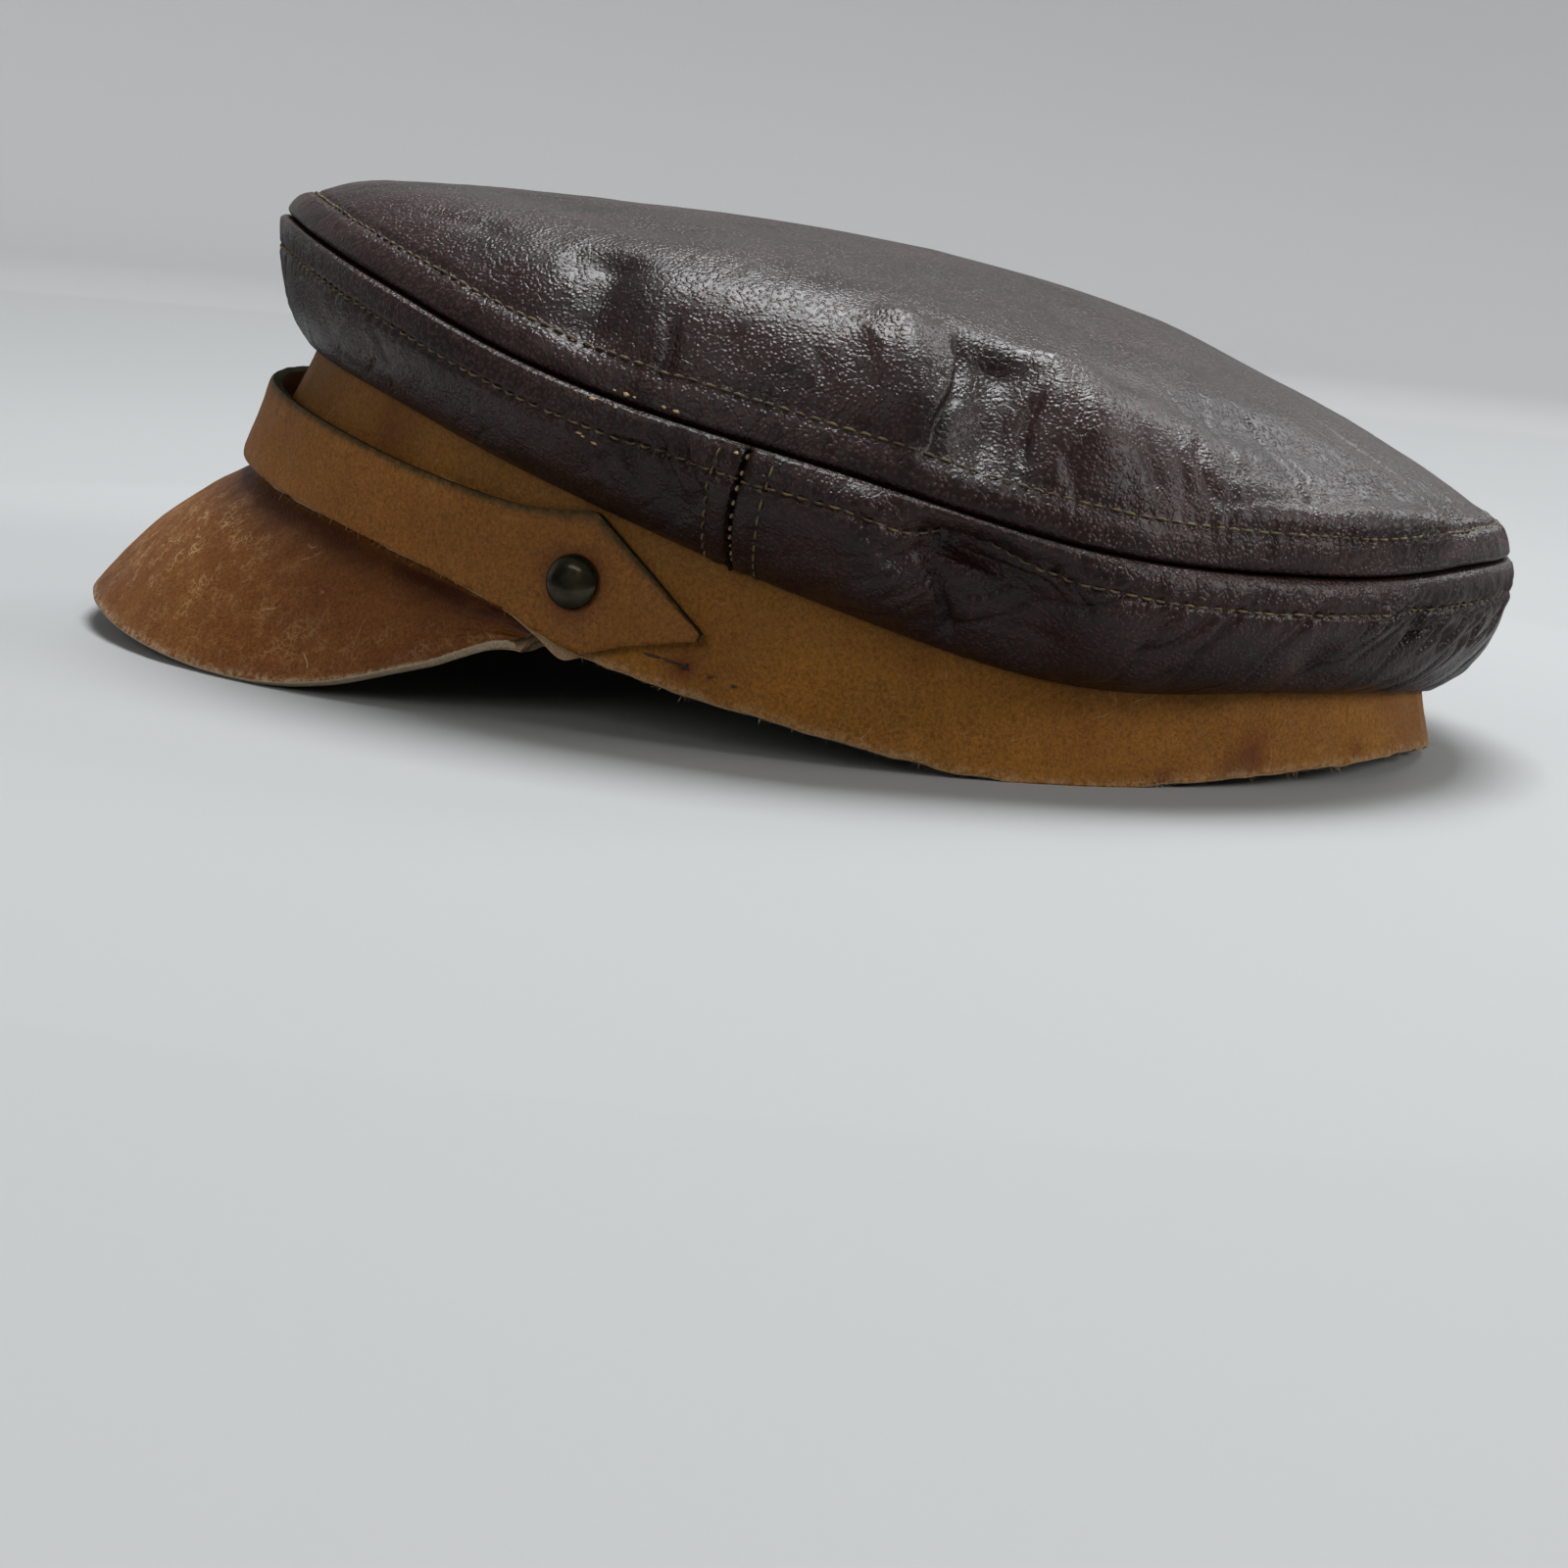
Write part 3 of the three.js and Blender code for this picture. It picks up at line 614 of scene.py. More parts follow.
def small_pieces(name, parts, faces, material):
    """One piece made of many small parts, which all have the same faces."""
    size = len(parts[0])
    starts = range(0, len(parts) * size, size)
    all_faces = [[start + corner for corner in face] for start in starts for face in faces]
    return new_piece(name, np.concatenate(parts), all_faces, material)


# Creases and puckers


def crease_rise(creases, x, y, place):
    """Height of all the creases in a list at points x round and y down a surface; place turns a
    crease's own turn and share into such a point."""
    rise = np.zeros(x.shape)
    for corners, depth, width, ridge in creases:
        points = [place(turn, share) for turn, share in corners]
        lengths = [math.dist(a, b) for a, b in zip(points, points[1:])]
        whole = sum(lengths)
        nearest = np.full(x.shape, np.inf)
        side = np.zeros(x.shape)
        taper = np.zeros(x.shape)
        before = 0
        for (ax, ay), (bx, by), length in zip(points, points[1:], lengths):
            dx = (bx - ax) / length
            dy = (by - ay) / length
            offset = (x - ax + arc(180)) % arc(360) - arc(180)
            along = np.clip(offset * dx + (y - ay) * dy, 0, length)
            gap_x = offset - along * dx
            gap_y = y - ay - along * dy
            distance = np.hypot(gap_x, gap_y)
            closer = distance < nearest
            nearest = np.where(closer, distance, nearest)
            side = np.where(closer, np.sign(dx * gap_y - dy * gap_x) * math.copysign(1, -dy), side)
            share = (before + along) / whole
            taper = np.where(closer, smooth(share, -0.12, 0.3) * smooth(1 - share, -0.12, 0.3), taper)
            before += length
        valley = (1 + (nearest / width) ** 2) ** -1.5
        crest = bell(side * nearest - 1.6 * width, 1.2 * width)
        rise += taper * (ridge * crest - depth * valley)
    return rise


def pucker_rise(x, off_row, strength, seed):
    """Small gathers along a row of stitches, at a distance off_row from it."""
    wave = np.abs(np.sin(np.pi * x / STITCH_PITCH + 0.8 * noise(x / 9, 0 * x, seed)))
    loose = 0.55 + 0.45 * noise(x / 6, off_row / 40, seed + 5, 2)
    return strength * 0.34 * wave * bell(off_row, 2.2) * loose - 0.42 * bell(off_row, 0.55)


# Crown top

# How far the edges reach into the seam, how thick they are there, and how many rows of them show
SEAM_DEPTH = 3.0
LIP_WALL = 0.9
LIP_ROWS = 4


def column_length(points):
    """Distance down each column of a grid from its first row."""
    steps = np.linalg.norm(np.diff(points, axis=0), axis=-1)
    return np.concatenate([np.zeros((1, points.shape[1])), np.cumsum(steps, 0)])


def crown_top_grid():
    """The dented and creased top with its turns, and each point's distance above the seam."""
    shares = runs((0.004, 0.74, 24), (0.75, 1, 58))
    turns = np.linspace(0, 360, 1000, endpoint=False)
    share, turn = grid(shares, turns)
    base = top_skin(share, turn)
    length = column_length(base)
    above = length[-1] - length
    x = arc(turn)

    def place(at_turn, at_share):
        column = int(round((at_turn % 360) / 360 * len(turns))) % len(turns)
        return float(arc(at_turn % 360)), float(np.interp(at_share, shares, above[:, column]))

    rise = crease_rise(TOP_CREASES, x, above, place)
    back = towards_back(turn)

    # Folds that fan out to the rim, mostly at the back, then an uneven surface, coarse and fine
    outer_part = smooth(share, 0.62, 0.88) * smooth(above, 2, 8)
    rise += 0.22 * back * ring_noise(turn, 8, share * 2.2, 11, 2) * outer_part
    lines = folds(ring_noise(turn, 9, share * 2.2, 12, 2))
    loose = smooth(ring_noise(turn, 30, share * 3, 13, 2), -0.35, 0.5)
    rise += (0.10 + 0.45 * back) * lines * loose * outer_part
    flat_part = smooth(above, 2, 10) * smooth(share, 0.1, 0.4)
    rise += 0.30 * ring_noise(turn, 19, above / 17, 21, 2) * flat_part
    rise += 0.08 * ring_noise(turn, 3.4, above / 4.2, 31, 2) * smooth(above, 0, 5) * smooth(share, 0.5, 0.8)

    # Puckers at the stitches, the roll between them and the seam, and gathers across the roll
    rise += pucker_rise(x, above - STITCH_ROW, 0.9 + 2.0 * back, 41) * smooth(above, 0, 1)
    roll = np.sin(np.pi * np.clip(above / STITCH_ROW, 0, 1)) ** 0.8
    rise += (0.55 + 0.25 * ring_noise(turn, 12, 0 * x, 51)) * roll
    gather = ring_noise(turn, 2.1, above / 30, 61) * bell(above - 2.4, 1.7)
    rise += 0.26 * (0.4 + back) * gather
    rise *= smooth(share, 0.01, 0.1)
    return base + grid_normals(base, True) * rise[..., None], turns, above


def rolled(turn, wobble, profile):
    """Rows of an edge in the crown's seam. The profile says how far each row is out from the seam's
    own line and above it."""
    outward = oval_outward(turn, CROWN_LENGTH, CROWN_WIDTH)
    rows = []
    for out, up in profile:
        point = oval_point(turn, CROWN_LENGTH, CROWN_WIDTH, seam_line(turn) + up)
        rows.append(point + outward * (out + wobble)[..., None])
    return rows


def crown_top():
    """The top, from its pole down to the seam, in to the seam, and back up inside."""
    points, turns, above = crown_top_grid()
    normals = grid_normals(points, True)
    wobble = 0.15 * ring_noise(turns, 8, 0 * turns, 71)
    profile = ((0, 1.2), (-0.08, 0.85), (-0.35, 0.5), (-0.8, 0.3), (-1.6, 0.22), (-SEAM_DEPTH, 0.2))
    edge = rolled(turns, wobble, profile)
    inner_rows = np.linspace(0, len(points) - 1, 8).astype(int)
    inner = points[inner_rows] - normals[inner_rows] * CROWN_WALL
    inner[-1] = edge[-1] + [0, 0, LIP_WALL]
    centre = points[0].mean(0)
    outer = np.concatenate([points, edge])
    everything = np.concatenate([outer, inner[::-1]])
    rows, columns = everything.shape[:2]
    faces = grid_faces(rows, columns, True).tolist()
    top = rows * columns
    faces += [[top, (column + 1) % columns, column] for column in range(columns)]
    last = (rows - 1) * columns
    faces += [[top + 1, last + column, last + (column + 1) % columns] for column in range(columns)]
    poles = np.array([centre, centre - [0, 0, CROWN_WALL]])
    flat = np.concatenate([everything.reshape(-1, 3), poles])
    piece = new_piece("crown_top_leather", flat, faces, CROWN)
    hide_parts("crown_top")
    flesh = np.zeros((rows, columns))
    flesh[len(points) + LIP_ROWS:] = 1
    rub = np.zeros((rows, columns))
    rub[:len(points)] = bell(above - 2.4, 1.6)
    paint(piece, flesh=np.append(flesh, [0, 1]), rub=np.append(rub, [0, 0]))
    return points, normals, above, turns


# Crown sides


# Width of a column of a side's grid and start of its rows below the seam, in millimetres, and half
# the gap between two sides, in degrees
SIDE_COLUMN = 0.6
SIDE_START = 0.6
SIDE_GAP = 0.06


def crown_side_grid(from_turn, to_turn):
    """A dented and creased side with its turns, and each point's distance below the seam."""
    steps = int(arc(to_turn - from_turn) / SIDE_COLUMN)
    falls = runs((0.02, 0.3, 22), (0.315, 1, 40))
    turns = np.linspace(from_turn + SIDE_GAP, to_turn - SIDE_GAP, steps)
    fall, turn = grid(falls, turns)
    base = side_skin(fall, turn)
    below = column_length(base) + SIDE_START
    x = arc(turn)

    def place(at_turn, at_fall):
        at = (at_turn - from_turn) % 360 + from_turn
        column = int(np.clip(np.interp(at, turns, np.arange(steps)), 0, steps - 1))
        return float(arc(at)), float(np.interp(at_fall, falls, below[:, column]))

    inside = [c for c in SIDE_CREASES if (c[0][0][0] - from_turn) % 360 < to_turn - from_turn]
    rise = crease_rise(inside, x, below, place)
    back = towards_back(turn)

    # Slanting folds, softer ones between them, then an uneven surface, coarse and fine
    middle = smooth(below, 1, 6) * smooth(below[-1] - below, 0, 4)
    slant = arc(folded(turn)) - below * 0.9
    lines = folds(noise(slant / 5.5, below / 20, 14, 2))
    loose = smooth(noise(x / 16, below / 11, 15, 2), -0.4, 0.4)
    rise += (0.30 + 0.60 * back) * lines * loose * middle
    rise += (0.06 + 0.10 * back) * noise(slant / 3.1, below / 14, 13, 2) * middle
    rise += 0.35 * noise(x / 15, below / 9, 23, 2) * middle
    rise += 0.08 * noise(x / 3.2, below / 3.6, 33, 2) * middle

    # Puckers at the stitches, the roll between them and the seam, and gathers across the roll
    rise += pucker_rise(x, below - STITCH_ROW, 1.0 + 1.7 * back, 43) * smooth(below, 0.4, 1.5)
    rise += 0.30 * np.sin(np.pi * np.clip(below / STITCH_ROW, 0, 1))
    gather = noise(x / 2.1, below / 30, 63) * bell(below - 2.6, 1.6)
    rise += 0.20 * (0.4 + back) * gather

    # The ends roll in to the side seams, and each has its own row of stitches
    from_seam = np.minimum(x - arc(from_turn), arc(to_turn) - x)
    rise -= 1.2 * (1 - smooth(from_seam, 0.1, 0.9)) ** 2
    rise += 0.45 * bell(from_seam - SIDE_ROW / 2, 1.4)
    rise += pucker_rise(below, from_seam - SIDE_ROW, 0.6, 53) * smooth(from_seam, 0, 1)
    rise *= 1 - smooth(fall, 0.985, 1)
    return base + grid_normals(base, False) * rise[..., None], turns, below


def crown_side(name, node, from_turn, to_turn):
    """One side piece, with its upper edge in the seam and its cut foot on the band."""
    points, turns, below = crown_side_grid(from_turn, to_turn)
    normals = grid_normals(points, False)
    wobble = 0.15 * noise(arc(turns) / 8, 0 * turns, 72)
    profile = (
        (-SEAM_DEPTH, -0.15), (-1.6, -0.12), (-0.5, -0.1), (0.2, -0.08), (0.62, -0.18), (0.86, -0.42),
    )
    head = np.array(rolled(turns, wobble, profile))
    foot_out = unit(points[-1] - points[-2])
    foot = np.array([
        points[-1] + foot_out * out - normals[-1] * deep
        for out, deep in ((0.5, 0.15), (0.75, 0.5), (0.75, 0.95))
    ])
    outer = np.concatenate([head, points, foot])
    inner_rows = np.linspace(0, len(points) - 1, 10).astype(int)
    inner = points[inner_rows] - normals[inner_rows] * CROWN_WALL
    inner[0] = head[0] - [0, 0, LIP_WALL]
    rub = np.zeros(outer.shape[:2])
    rub[2:len(head)] = 0.9
    rub[len(head):len(head) + len(points)] = bell(below - 0.9, 0.8)
    piece = wall_piece(name, outer, inner, False, CROWN, "crown_leather", rub=rub)
    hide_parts(node)
    return points, normals, below, turns


# Band


def band():
    """The band, with an uneven lower edge, stains, and painted shade under the crown."""
    ups = runs((BAND_HEIGHT, 4, 22), (3.4, 0, 9))
    up, turn = grid(ups, np.linspace(0, 360, 640, endpoint=False))
    x = arc(turn)
    ragged = 0.22 * ring_noise(turn, 5, 0 * x, 14, 3) * (1 - smooth(up, 0, 5))
    outer = band_point(turn, up + ragged)
    normals = band_normal(turn, up)
    rise = 0.22 * ring_noise(turn, 16, up / 12, 15, 2) + 0.05 * ring_noise(turn, 3, up / 3, 16, 2)
    outer = outer + normals * rise[..., None]
    inner = outer - normals * BAND_WALL
    stain = 0.12 * smooth(np.cos(np.radians(turn)), 0.35, 0.95)
    for at_turn, at_up, size, strength in BAND_STAINS:
        distance = np.hypot(arc(turn_from(at_turn, turn)), up - at_up)
        stain = stain + strength * bell(distance, size)
    # The shade mask is painted shade on the band's upper part, under the crown's foot; the stains here are
    # real stains.
    piece = wall_piece(
        "band_leather_strip", outer, inner, True, BAND, "band_leather",
        stain=np.clip(stain, 0, 1), shade=smooth(up, 9, 20), fray=1 - smooth(up, 0, 1.6),
    )
    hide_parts("band")


# Peak


# The peak's size along its rim and outwards, for its unevenness and its marks
PEAK_ROUND = 230
PEAK_OUT = 50
FLANGE_ROWS = 7
SKIVED_ROWS = 16


def peak_faces(places, steps):
    """The upper and the lower face: rows from the top of the flange to the rim, at places from the
    left end (0) to the right end (1), with the brim's rows at steps of its reach."""
    side = np.where(places < 0.5, 1, -1)
    share = 1 - np.abs(1 - 2 * places)
    rim_turn = PEAK_RIM_TURN + (180 - PEAK_RIM_TURN) * share
    rim = oval_point(side * rim_turn, BAND_LENGTH + 2 * (PEAK_REACH - PEAK_CENTRE), PEAK_WIDTH, 0)
    rim[:, 1] -= PEAK_CENTRE
    rim[:, 2] = float(hem_line(180)) - PEAK_DROP * read(PEAK, "drop", share)
    root_turn = side * (PEAK_ROOT_TURN + (180 - PEAK_ROOT_TURN) * share)

    def inside(up, depth):
        normal = band_normal(root_turn, up)
        return band_point(root_turn, up) - normal * (BAND_WALL + depth)

    root = inside(0 * places, 0)
    out = rim[:, :2] - root[:, :2]
    reach = np.linalg.norm(out, axis=1)
    out = out / reach[:, None]

    # The middle line of each column, as its level way out from the root plus i times its height
    flange = FLANGE_HEIGHT * read(PEAK, "flange", share)
    lines = []
    for up_share in np.linspace(1, 0, FLANGE_ROWS):
        point = inside(flange * up_share, 2 * CLEARANCE + PEAK_WALL / 2)
        lines.append(((point[:, :2] - root[:, :2]) * out).sum(1) + 1j * point[:, 2])
    start = hem_line(root_turn) - PEAK_WALL / 2 - PEAK_ROOT_GAP
    arch = PEAK_ARCH * read(PEAK, "arch", share)
    for step in steps:
        level = -CLEARANCE + (reach + CLEARANCE) * step
        height = start + (rim[:, 2] - start) * step + arch * math.sin(math.pi * step)
        lines.append(level + 1j * height)
    line = np.array(lines)
    across = np.gradient(line, axis=0)
    across = across / np.abs(across)

    def face(offset):
        moved = line + 1j * across * offset
        spot = root[None, :, :2] + out[None] * moved.real[..., None]
        return np.concatenate([spot, moved.imag[..., None]], -1)

    rows = len(line)
    thinned = smooth(np.arange(rows), rows - SKIVED_ROWS, rows - 1)[:, None]
    lower = face(-PEAK_WALL * (0.5 - PEAK_SKIVED * thinned))
    lower[..., :2] -= out[None] * (PEAK_UNDERCUT * thinned)[..., None]
    return face(PEAK_WALL / 2), lower


def peak():
    """The peak, with painted shade at its root, darker at its ends, and crackle on its front."""
    places = np.linspace(0, 1, 300)[None]
    steps = runs((0, 0.9, 44), (0.915, 1, 10))
    upper, lower = peak_faces(places[0], steps)
    x = places * PEAK_ROUND + 0 * upper[..., 0]
    y = np.concatenate([np.linspace(-FLANGE_HEIGHT, -1, FLANGE_ROWS), steps * PEAK_OUT])[:, None] + 0 * x
    rise = 0.30 * noise(x / 22, y / 18, 17, 2) + 0.06 * noise(x / 3.3, y / 3.6, 18, 2)
    relief = grid_normals(upper, False) * rise[..., None]
    # Painted shade on the brim near its root, under the strap and the crown; the ends are only darker.
    dark = bell(np.maximum(y - 4, 0), 11) * smooth(y, 0, 3)
    ends = 1 - smooth(1 - np.abs(1 - 2 * places), 0, 0.28)
    stain = np.clip(0.9 * dark + 0.4 * ends, 0, 1)
    crackle = 0.30 * bell(y - 40, 9)
    for place, out, long, strength in ((0.33, 25, 13, 1.0), (0.62, 26, 12, 0.5)):
        crackle = crackle + strength * bell(places - place, 0.10) * bell(y - out, long)
    piece = wall_piece(
        "peak_leather_brim", upper + relief, lower + relief, False, PEAK_SKIN, "peak_leather",
        stain=stain, crackle=crackle, fray=bell(PEAK_OUT - y, 1.2),
    )
    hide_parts("peak")


# Strap


def strap_edge(column, share):
    """An edge of the strap: straight along the pointed tip, then on the table's smooth curve."""
    straight = np.interp(share, STRAP["share"], STRAP[column])
    return np.where(share < STRAP["share"][2], straight, read(STRAP, column, share))


def strap_point(down, turn, stand):
    """A point at a share of the strap's width down from its upper edge, standing off the band."""
    share = np.maximum((folded(turn) - STRAP_TIP_TURN) / (180 - STRAP_TIP_TURN), 0)
    over = STRAP_MIDDLE + STRAP_WIDTH / 2 * strap_edge("over", share)
    under = STRAP_MIDDLE - STRAP_WIDTH / 2 * strap_edge("under", share)
    spring = STRAP_SPRING * read(STRAP, "spring", share) * (1 - down)
    up = over + (under - over) * down - hem_line(turn)
    return band_point(turn, up) + band_normal(turn, up) * (stand + spring)[..., None]


def strap():
    """The strap, pressed in round its rivets and thinned to a narrow lower edge."""
    half = np.linspace(STRAP_TIP_TURN, 180, 240)
    turns = np.concatenate([half, 360 - half[-2::-1]])
    down, turn = grid(runs((0, 0.1, 4), (0.15, 0.85, 15), (0.9, 1, 4)), turns)
    x = arc(turn)
    y = down * STRAP_WIDTH
    up = strap_point(down, turn, 0 * down)[..., 2] - hem_line(turn)
    to_rivet = np.hypot(arc(folded(turn) - RIVET_TURN), up - RIVET_UP)
    edge = np.minimum(down, 1 - down) * STRAP_WIDTH
    rise = 0.16 * noise(x / 13, y / 9, 19, 2) + 0.05 * noise(x / 2.8, y / 2.8, 20, 2)
    rise = rise - 0.35 * bell(to_rivet, 5.5) - 0.3 * bell(edge, 0.45)
    outer = strap_point(down, turn, CLEARANCE + STRAP_WALL + rise)
    thinned = 0.7 * STRAP_WALL * bell((1 - down) * STRAP_WIDTH, 1.2)
    inner = strap_point(down, turn, CLEARANCE + thinned)
    # Painted shade in a ring round each rivet's seat, with darker leather at the front and towards the
    # tips.
    stain = 0.55 * bell(to_rivet - 3.6, 2.6) + 0.5 * bell(x - arc(180), 30)
    stain = stain + 0.25 * (1 - smooth(folded(turn), 105, 125))
    piece = wall_piece(
        "strap_leather_strip", outer, inner, False, STRAP_SKIN, "strap_leather", fullness=0.2,
        stain=np.clip(stain, 0, 1), burnish=bell(down * STRAP_WIDTH, 0.95),
    )
    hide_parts("strap")


# Rivets


def rivets():
    """Domed caps outside and flat caps inside, turned about the band's own normal."""
    seat = 2 * CLEARANCE + STRAP_WALL
    back = -(BAND_WALL + CLEARANCE)
    radius = RIVET_WIDTH / 2
    profile = [(0, back - RIVET_BACK_WALL), (RIVET_BACK_WIDTH / 2 - 0.3, back - RIVET_BACK_WALL)]
    profile += [(RIVET_BACK_WIDTH / 2, back - RIVET_BACK_WALL / 2), (RIVET_BACK_WIDTH / 2, back)]
    profile += [(1.3, back), (1.3, seat - 0.2), (radius - 0.5, seat - 0.25), (radius - 0.1, seat - 0.2)]
    profile += [(radius, seat), (radius, seat + 0.18)]
    for angle in np.linspace(12, 90, 14):
        lift = (RIVET_DOME - 0.1) * math.sin(math.radians(angle))
        profile.append((radius * math.cos(math.radians(angle)) ** 0.92, seat + lift))
    for name, side in (("left", 1), ("right", -1)):
        turn = np.array(side * RIVET_TURN, float)
        axis = band_normal(turn, RIVET_UP)
        origin = band_point(turn, np.array(RIVET_UP))
        across = unit(np.cross(axis, [0, 0, 1.0]))
        radii, heights = np.array(profile).T[..., None]
        points = tube(origin + axis * heights, radii, across, np.cross(axis, across), RIVET_SIDES)
        faces = grid_faces(len(profile), RIVET_SIDES, True).tolist()
        piece = new_piece("rivet_" + name + "_cap", points, faces, BRASS)
        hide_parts("rivet_" + name)


# Stitches


def thread_mesh(name, stitches, material, width=THREAD_WIDTH):
    """Short arched threads. Each stitch is its start, its end, the surface's normal and its arch."""
    share = np.linspace(0, 1, THREAD_RINGS)[:, None]
    bow = np.sin(np.pi * share)
    radii = width / 2 * (0.55 + 0.45 * bow ** 0.5)
    parts = []
    for start, end, normal, arch in stitches:
        across = np.cross(unit(end - start), normal)
        centres = start + (end - start) * share + normal * (arch * (bow - 0.45))
        parts.append(tube(centres, radii, across, normal, THREAD_SIDES))
    last = (THREAD_RINGS - 1) * THREAD_SIDES
    faces = grid_faces(THREAD_RINGS, THREAD_SIDES, True).tolist()
    faces.append(list(reversed(range(THREAD_SIDES))))
    faces.append(list(range(last, last + THREAD_SIDES)))
    small_pieces(name, parts, faces, material)


def path_at(points, normals, measure):
    """The line on a grid where each column's measure is near the row of stitches, with its
    normals."""
    columns = np.arange(points.shape[1])
    sway = STITCH_ROW + 0.22 * noise(columns / 14, 0 * columns, 91, 2)
    order = np.arange(len(points))
    if measure[0, 0] > measure[-1, 0]:
        order = order[::-1]
    line = []
    upright = []
    for column in columns:
        place = np.interp(sway[column], measure[order, column], order)
        low = int(min(place, len(points) - 2))
        share = place - low
        line.append(points[low, column] * (1 - share) + points[low + 1, column] * share)
        upright.append(normals[low, column])
    return np.array(line), np.array(upright)


def stitches_along(line, normals, seed, pitch=STITCH_PITCH, length=STITCH_LENGTH, arch=0.3, lift=0.1):
    """Stitches one after another down a line, with small chance differences."""
    chance = np.random.default_rng(seed)
    steps = np.linalg.norm(np.diff(line, axis=0), axis=1)
    way = np.concatenate([[0], np.cumsum(steps)])
    count = int(way[-1] / pitch)
    stitches = []

    def at(where, values):
        return np.array([np.interp(where, way, values[:, axis]) for axis in range(3)])

    for index in range(count):
        start = (index + 0.15 + 0.06 * chance.standard_normal()) * way[-1] / count
        end = min(start + length * (1 + 0.06 * chance.standard_normal()), way[-1])
        normal = unit(at((start + end) / 2, normals))
        raised = normal * lift
        stitches.append((at(start, line) + raised, at(end, line) + raised, normal, arch))
    return stitches


def crown_stitches(top, sides):
    """Two rows along the crown's seam, and a row on each side of each side seam."""
    line, upright = path_at(*top[:3])
    rows = stitches_along(np.concatenate([line, line[:1]]), np.concatenate([upright, upright[:1]]), 1)
    for seed, side in enumerate(sides, 2):
        rows += stitches_along(*path_at(*side[:3]), seed)
    thread_mesh("crown_topstitching", rows, OLIVE_THREAD)
    rows = []
    for seed, (points, normals, below, turns) in enumerate(sides, 10):
        for end in (0, -1):
            from_end = np.abs(arc(turns) - arc(turns[end]))
            column = int(np.argmin(np.abs(from_end - SIDE_ROW)))
            keep = below[:, column] > 1.2
            rows += stitches_along(points[keep, column], normals[keep, column], seed + abs(end) * 3)
    thread_mesh("side_seam_topstitching", rows, OLIVE_THREAD)


def seam_threads(sides):
    """The thread that shows between the two pieces in each side seam."""
    threads = []
    (front, front_normals, below, _), (back, back_normals, _, _) = sides
    for front_end, back_end, seed in ((0, -1, 31), (-1, 0, 32)):
        front_in = 3 if front_end == 0 else -3
        normals = unit(front_normals[:, front_in] + back_normals[:, -front_in])
        keep = below[:, front_end] > 0.8
        line = (front[:, front_end] + back[:, back_end]) / 2
        line = line[keep] + normals[keep] * 0.3
        threads += stitches_along(line, normals[keep], seed, pitch=2.3, length=0.8, arch=0.25, lift=-0.25)
    thread_mesh("side_seam_thread", threads, PALE_THREAD, width=0.55)


# Wear: loose fibres, worn flakes and old threads


def band_fibres():
    """Short loose fibres along the band's lower edge."""
    turns = np.linspace(0, 360, 400)
    normal = band_normal(turns, 0 * turns)
    hem = band_point(turns, 0 * turns) - normal * 0.5
    outward = 0.5 * normal - [0, 0, 1]
    chance = np.random.default_rng(61)
    share = np.array([[0], [0.5], [1]])
    radii = 0.045 * (1 - 0.7 * share)
    parts = []
    for place in chance.uniform(0, len(hem) - 1, 2600):
        index = int(place)
        root = hem[index] + (hem[index + 1] - hem[index]) * (place - index)
        root = root + chance.uniform(-0.3, 0.3, 3)
        way = unit(outward[index] + chance.normal(0, 0.75, 3))
        bend = chance.normal(0, 0.5, 3)
        length = 0.9 * chance.uniform(0.3, 1) ** 1.5
        side = unit(np.cross(way, chance.normal(0, 1, 3)))
        centres = root + way * length * share + bend * length * share ** 2
        parts.append(tube(centres, radii, side, np.cross(way, side), 3))
    small_pieces("band_fibres", parts, grid_faces(3, 3, True).tolist(), PALE_FIBRE)


def old_threads():
    """Dark ends of thread left in the band behind the strap."""
    turn_a, up_a, turn_b, up_b = np.array(OLD_THREADS).T
    normals = band_normal(turn_a, up_a)
    starts = band_point(turn_a, up_a) + normals * 0.12
    ends = band_point(turn_b, up_b) + normals * 0.12
    threads = [(*places, 0.1) for places in zip(starts, ends, normals)]
    thread_mesh("band_old_threads", threads, DARK_THREAD, width=0.4)


def chips(top, front):
    """Pale ragged flakes at the seam, where the finish has worn through to the tan leather."""
    grids = {"top": top, "side": front}
    chance = np.random.default_rng(81)
    angle = 2 * math.pi * np.arange(CHIP_CORNERS)[:, None] / CHIP_CORNERS
    parts = []
    for piece, turn, away, length, width in CHIPS:
        points, normals, measure, turns = grids[piece]
        column = int(np.argmin(np.abs(turns - turn)))
        row = int(np.argmin(np.abs(measure[:, column] - away)))
        along = unit(points[row, column + 1] - points[row, column - 1])
        centre = points[row, column]
        normal = normals[row, column]
        across = np.cross(normal, along)
        offset = along * (length * np.cos(angle)) + across * (width * np.sin(angle))
        rings = [[centre + normal * 0.16]]
        for share, lift in ((0.6, 0.14), (1.0, -0.12)):
            reach = share * chance.uniform(0.65, 1.15, (CHIP_CORNERS, 1)) / 2
            rings.append(centre + offset * reach + normal * lift)
        parts.append(np.concatenate(rings))
    faces = []
    for a in range(1, CHIP_CORNERS + 1):
        b = a % CHIP_CORNERS + 1
        faces += [[0, a, b], [a, a + CHIP_CORNERS, b + CHIP_CORNERS, b]]
    small_pieces("crown_chips", parts, faces, RAW_HIDE)


# Materials

# Crown leather: bump depths in millimetres, colours, roughness and specular level
CROWN_FOLD = 0.13
CROWN_NETWORK = 0.060
CROWN_GRAIN = 0.105
CROWN_FINE = 0.045
CROWN_DARK = (0.0135, 0.0048, 0.0037)
CROWN_LIGHT = (0.0300, 0.0108, 0.0080)
CROWN_SCUFFED = (0.034, 0.017, 0.013)
CROWN_RUBBED = (0.065, 0.034, 0.024)
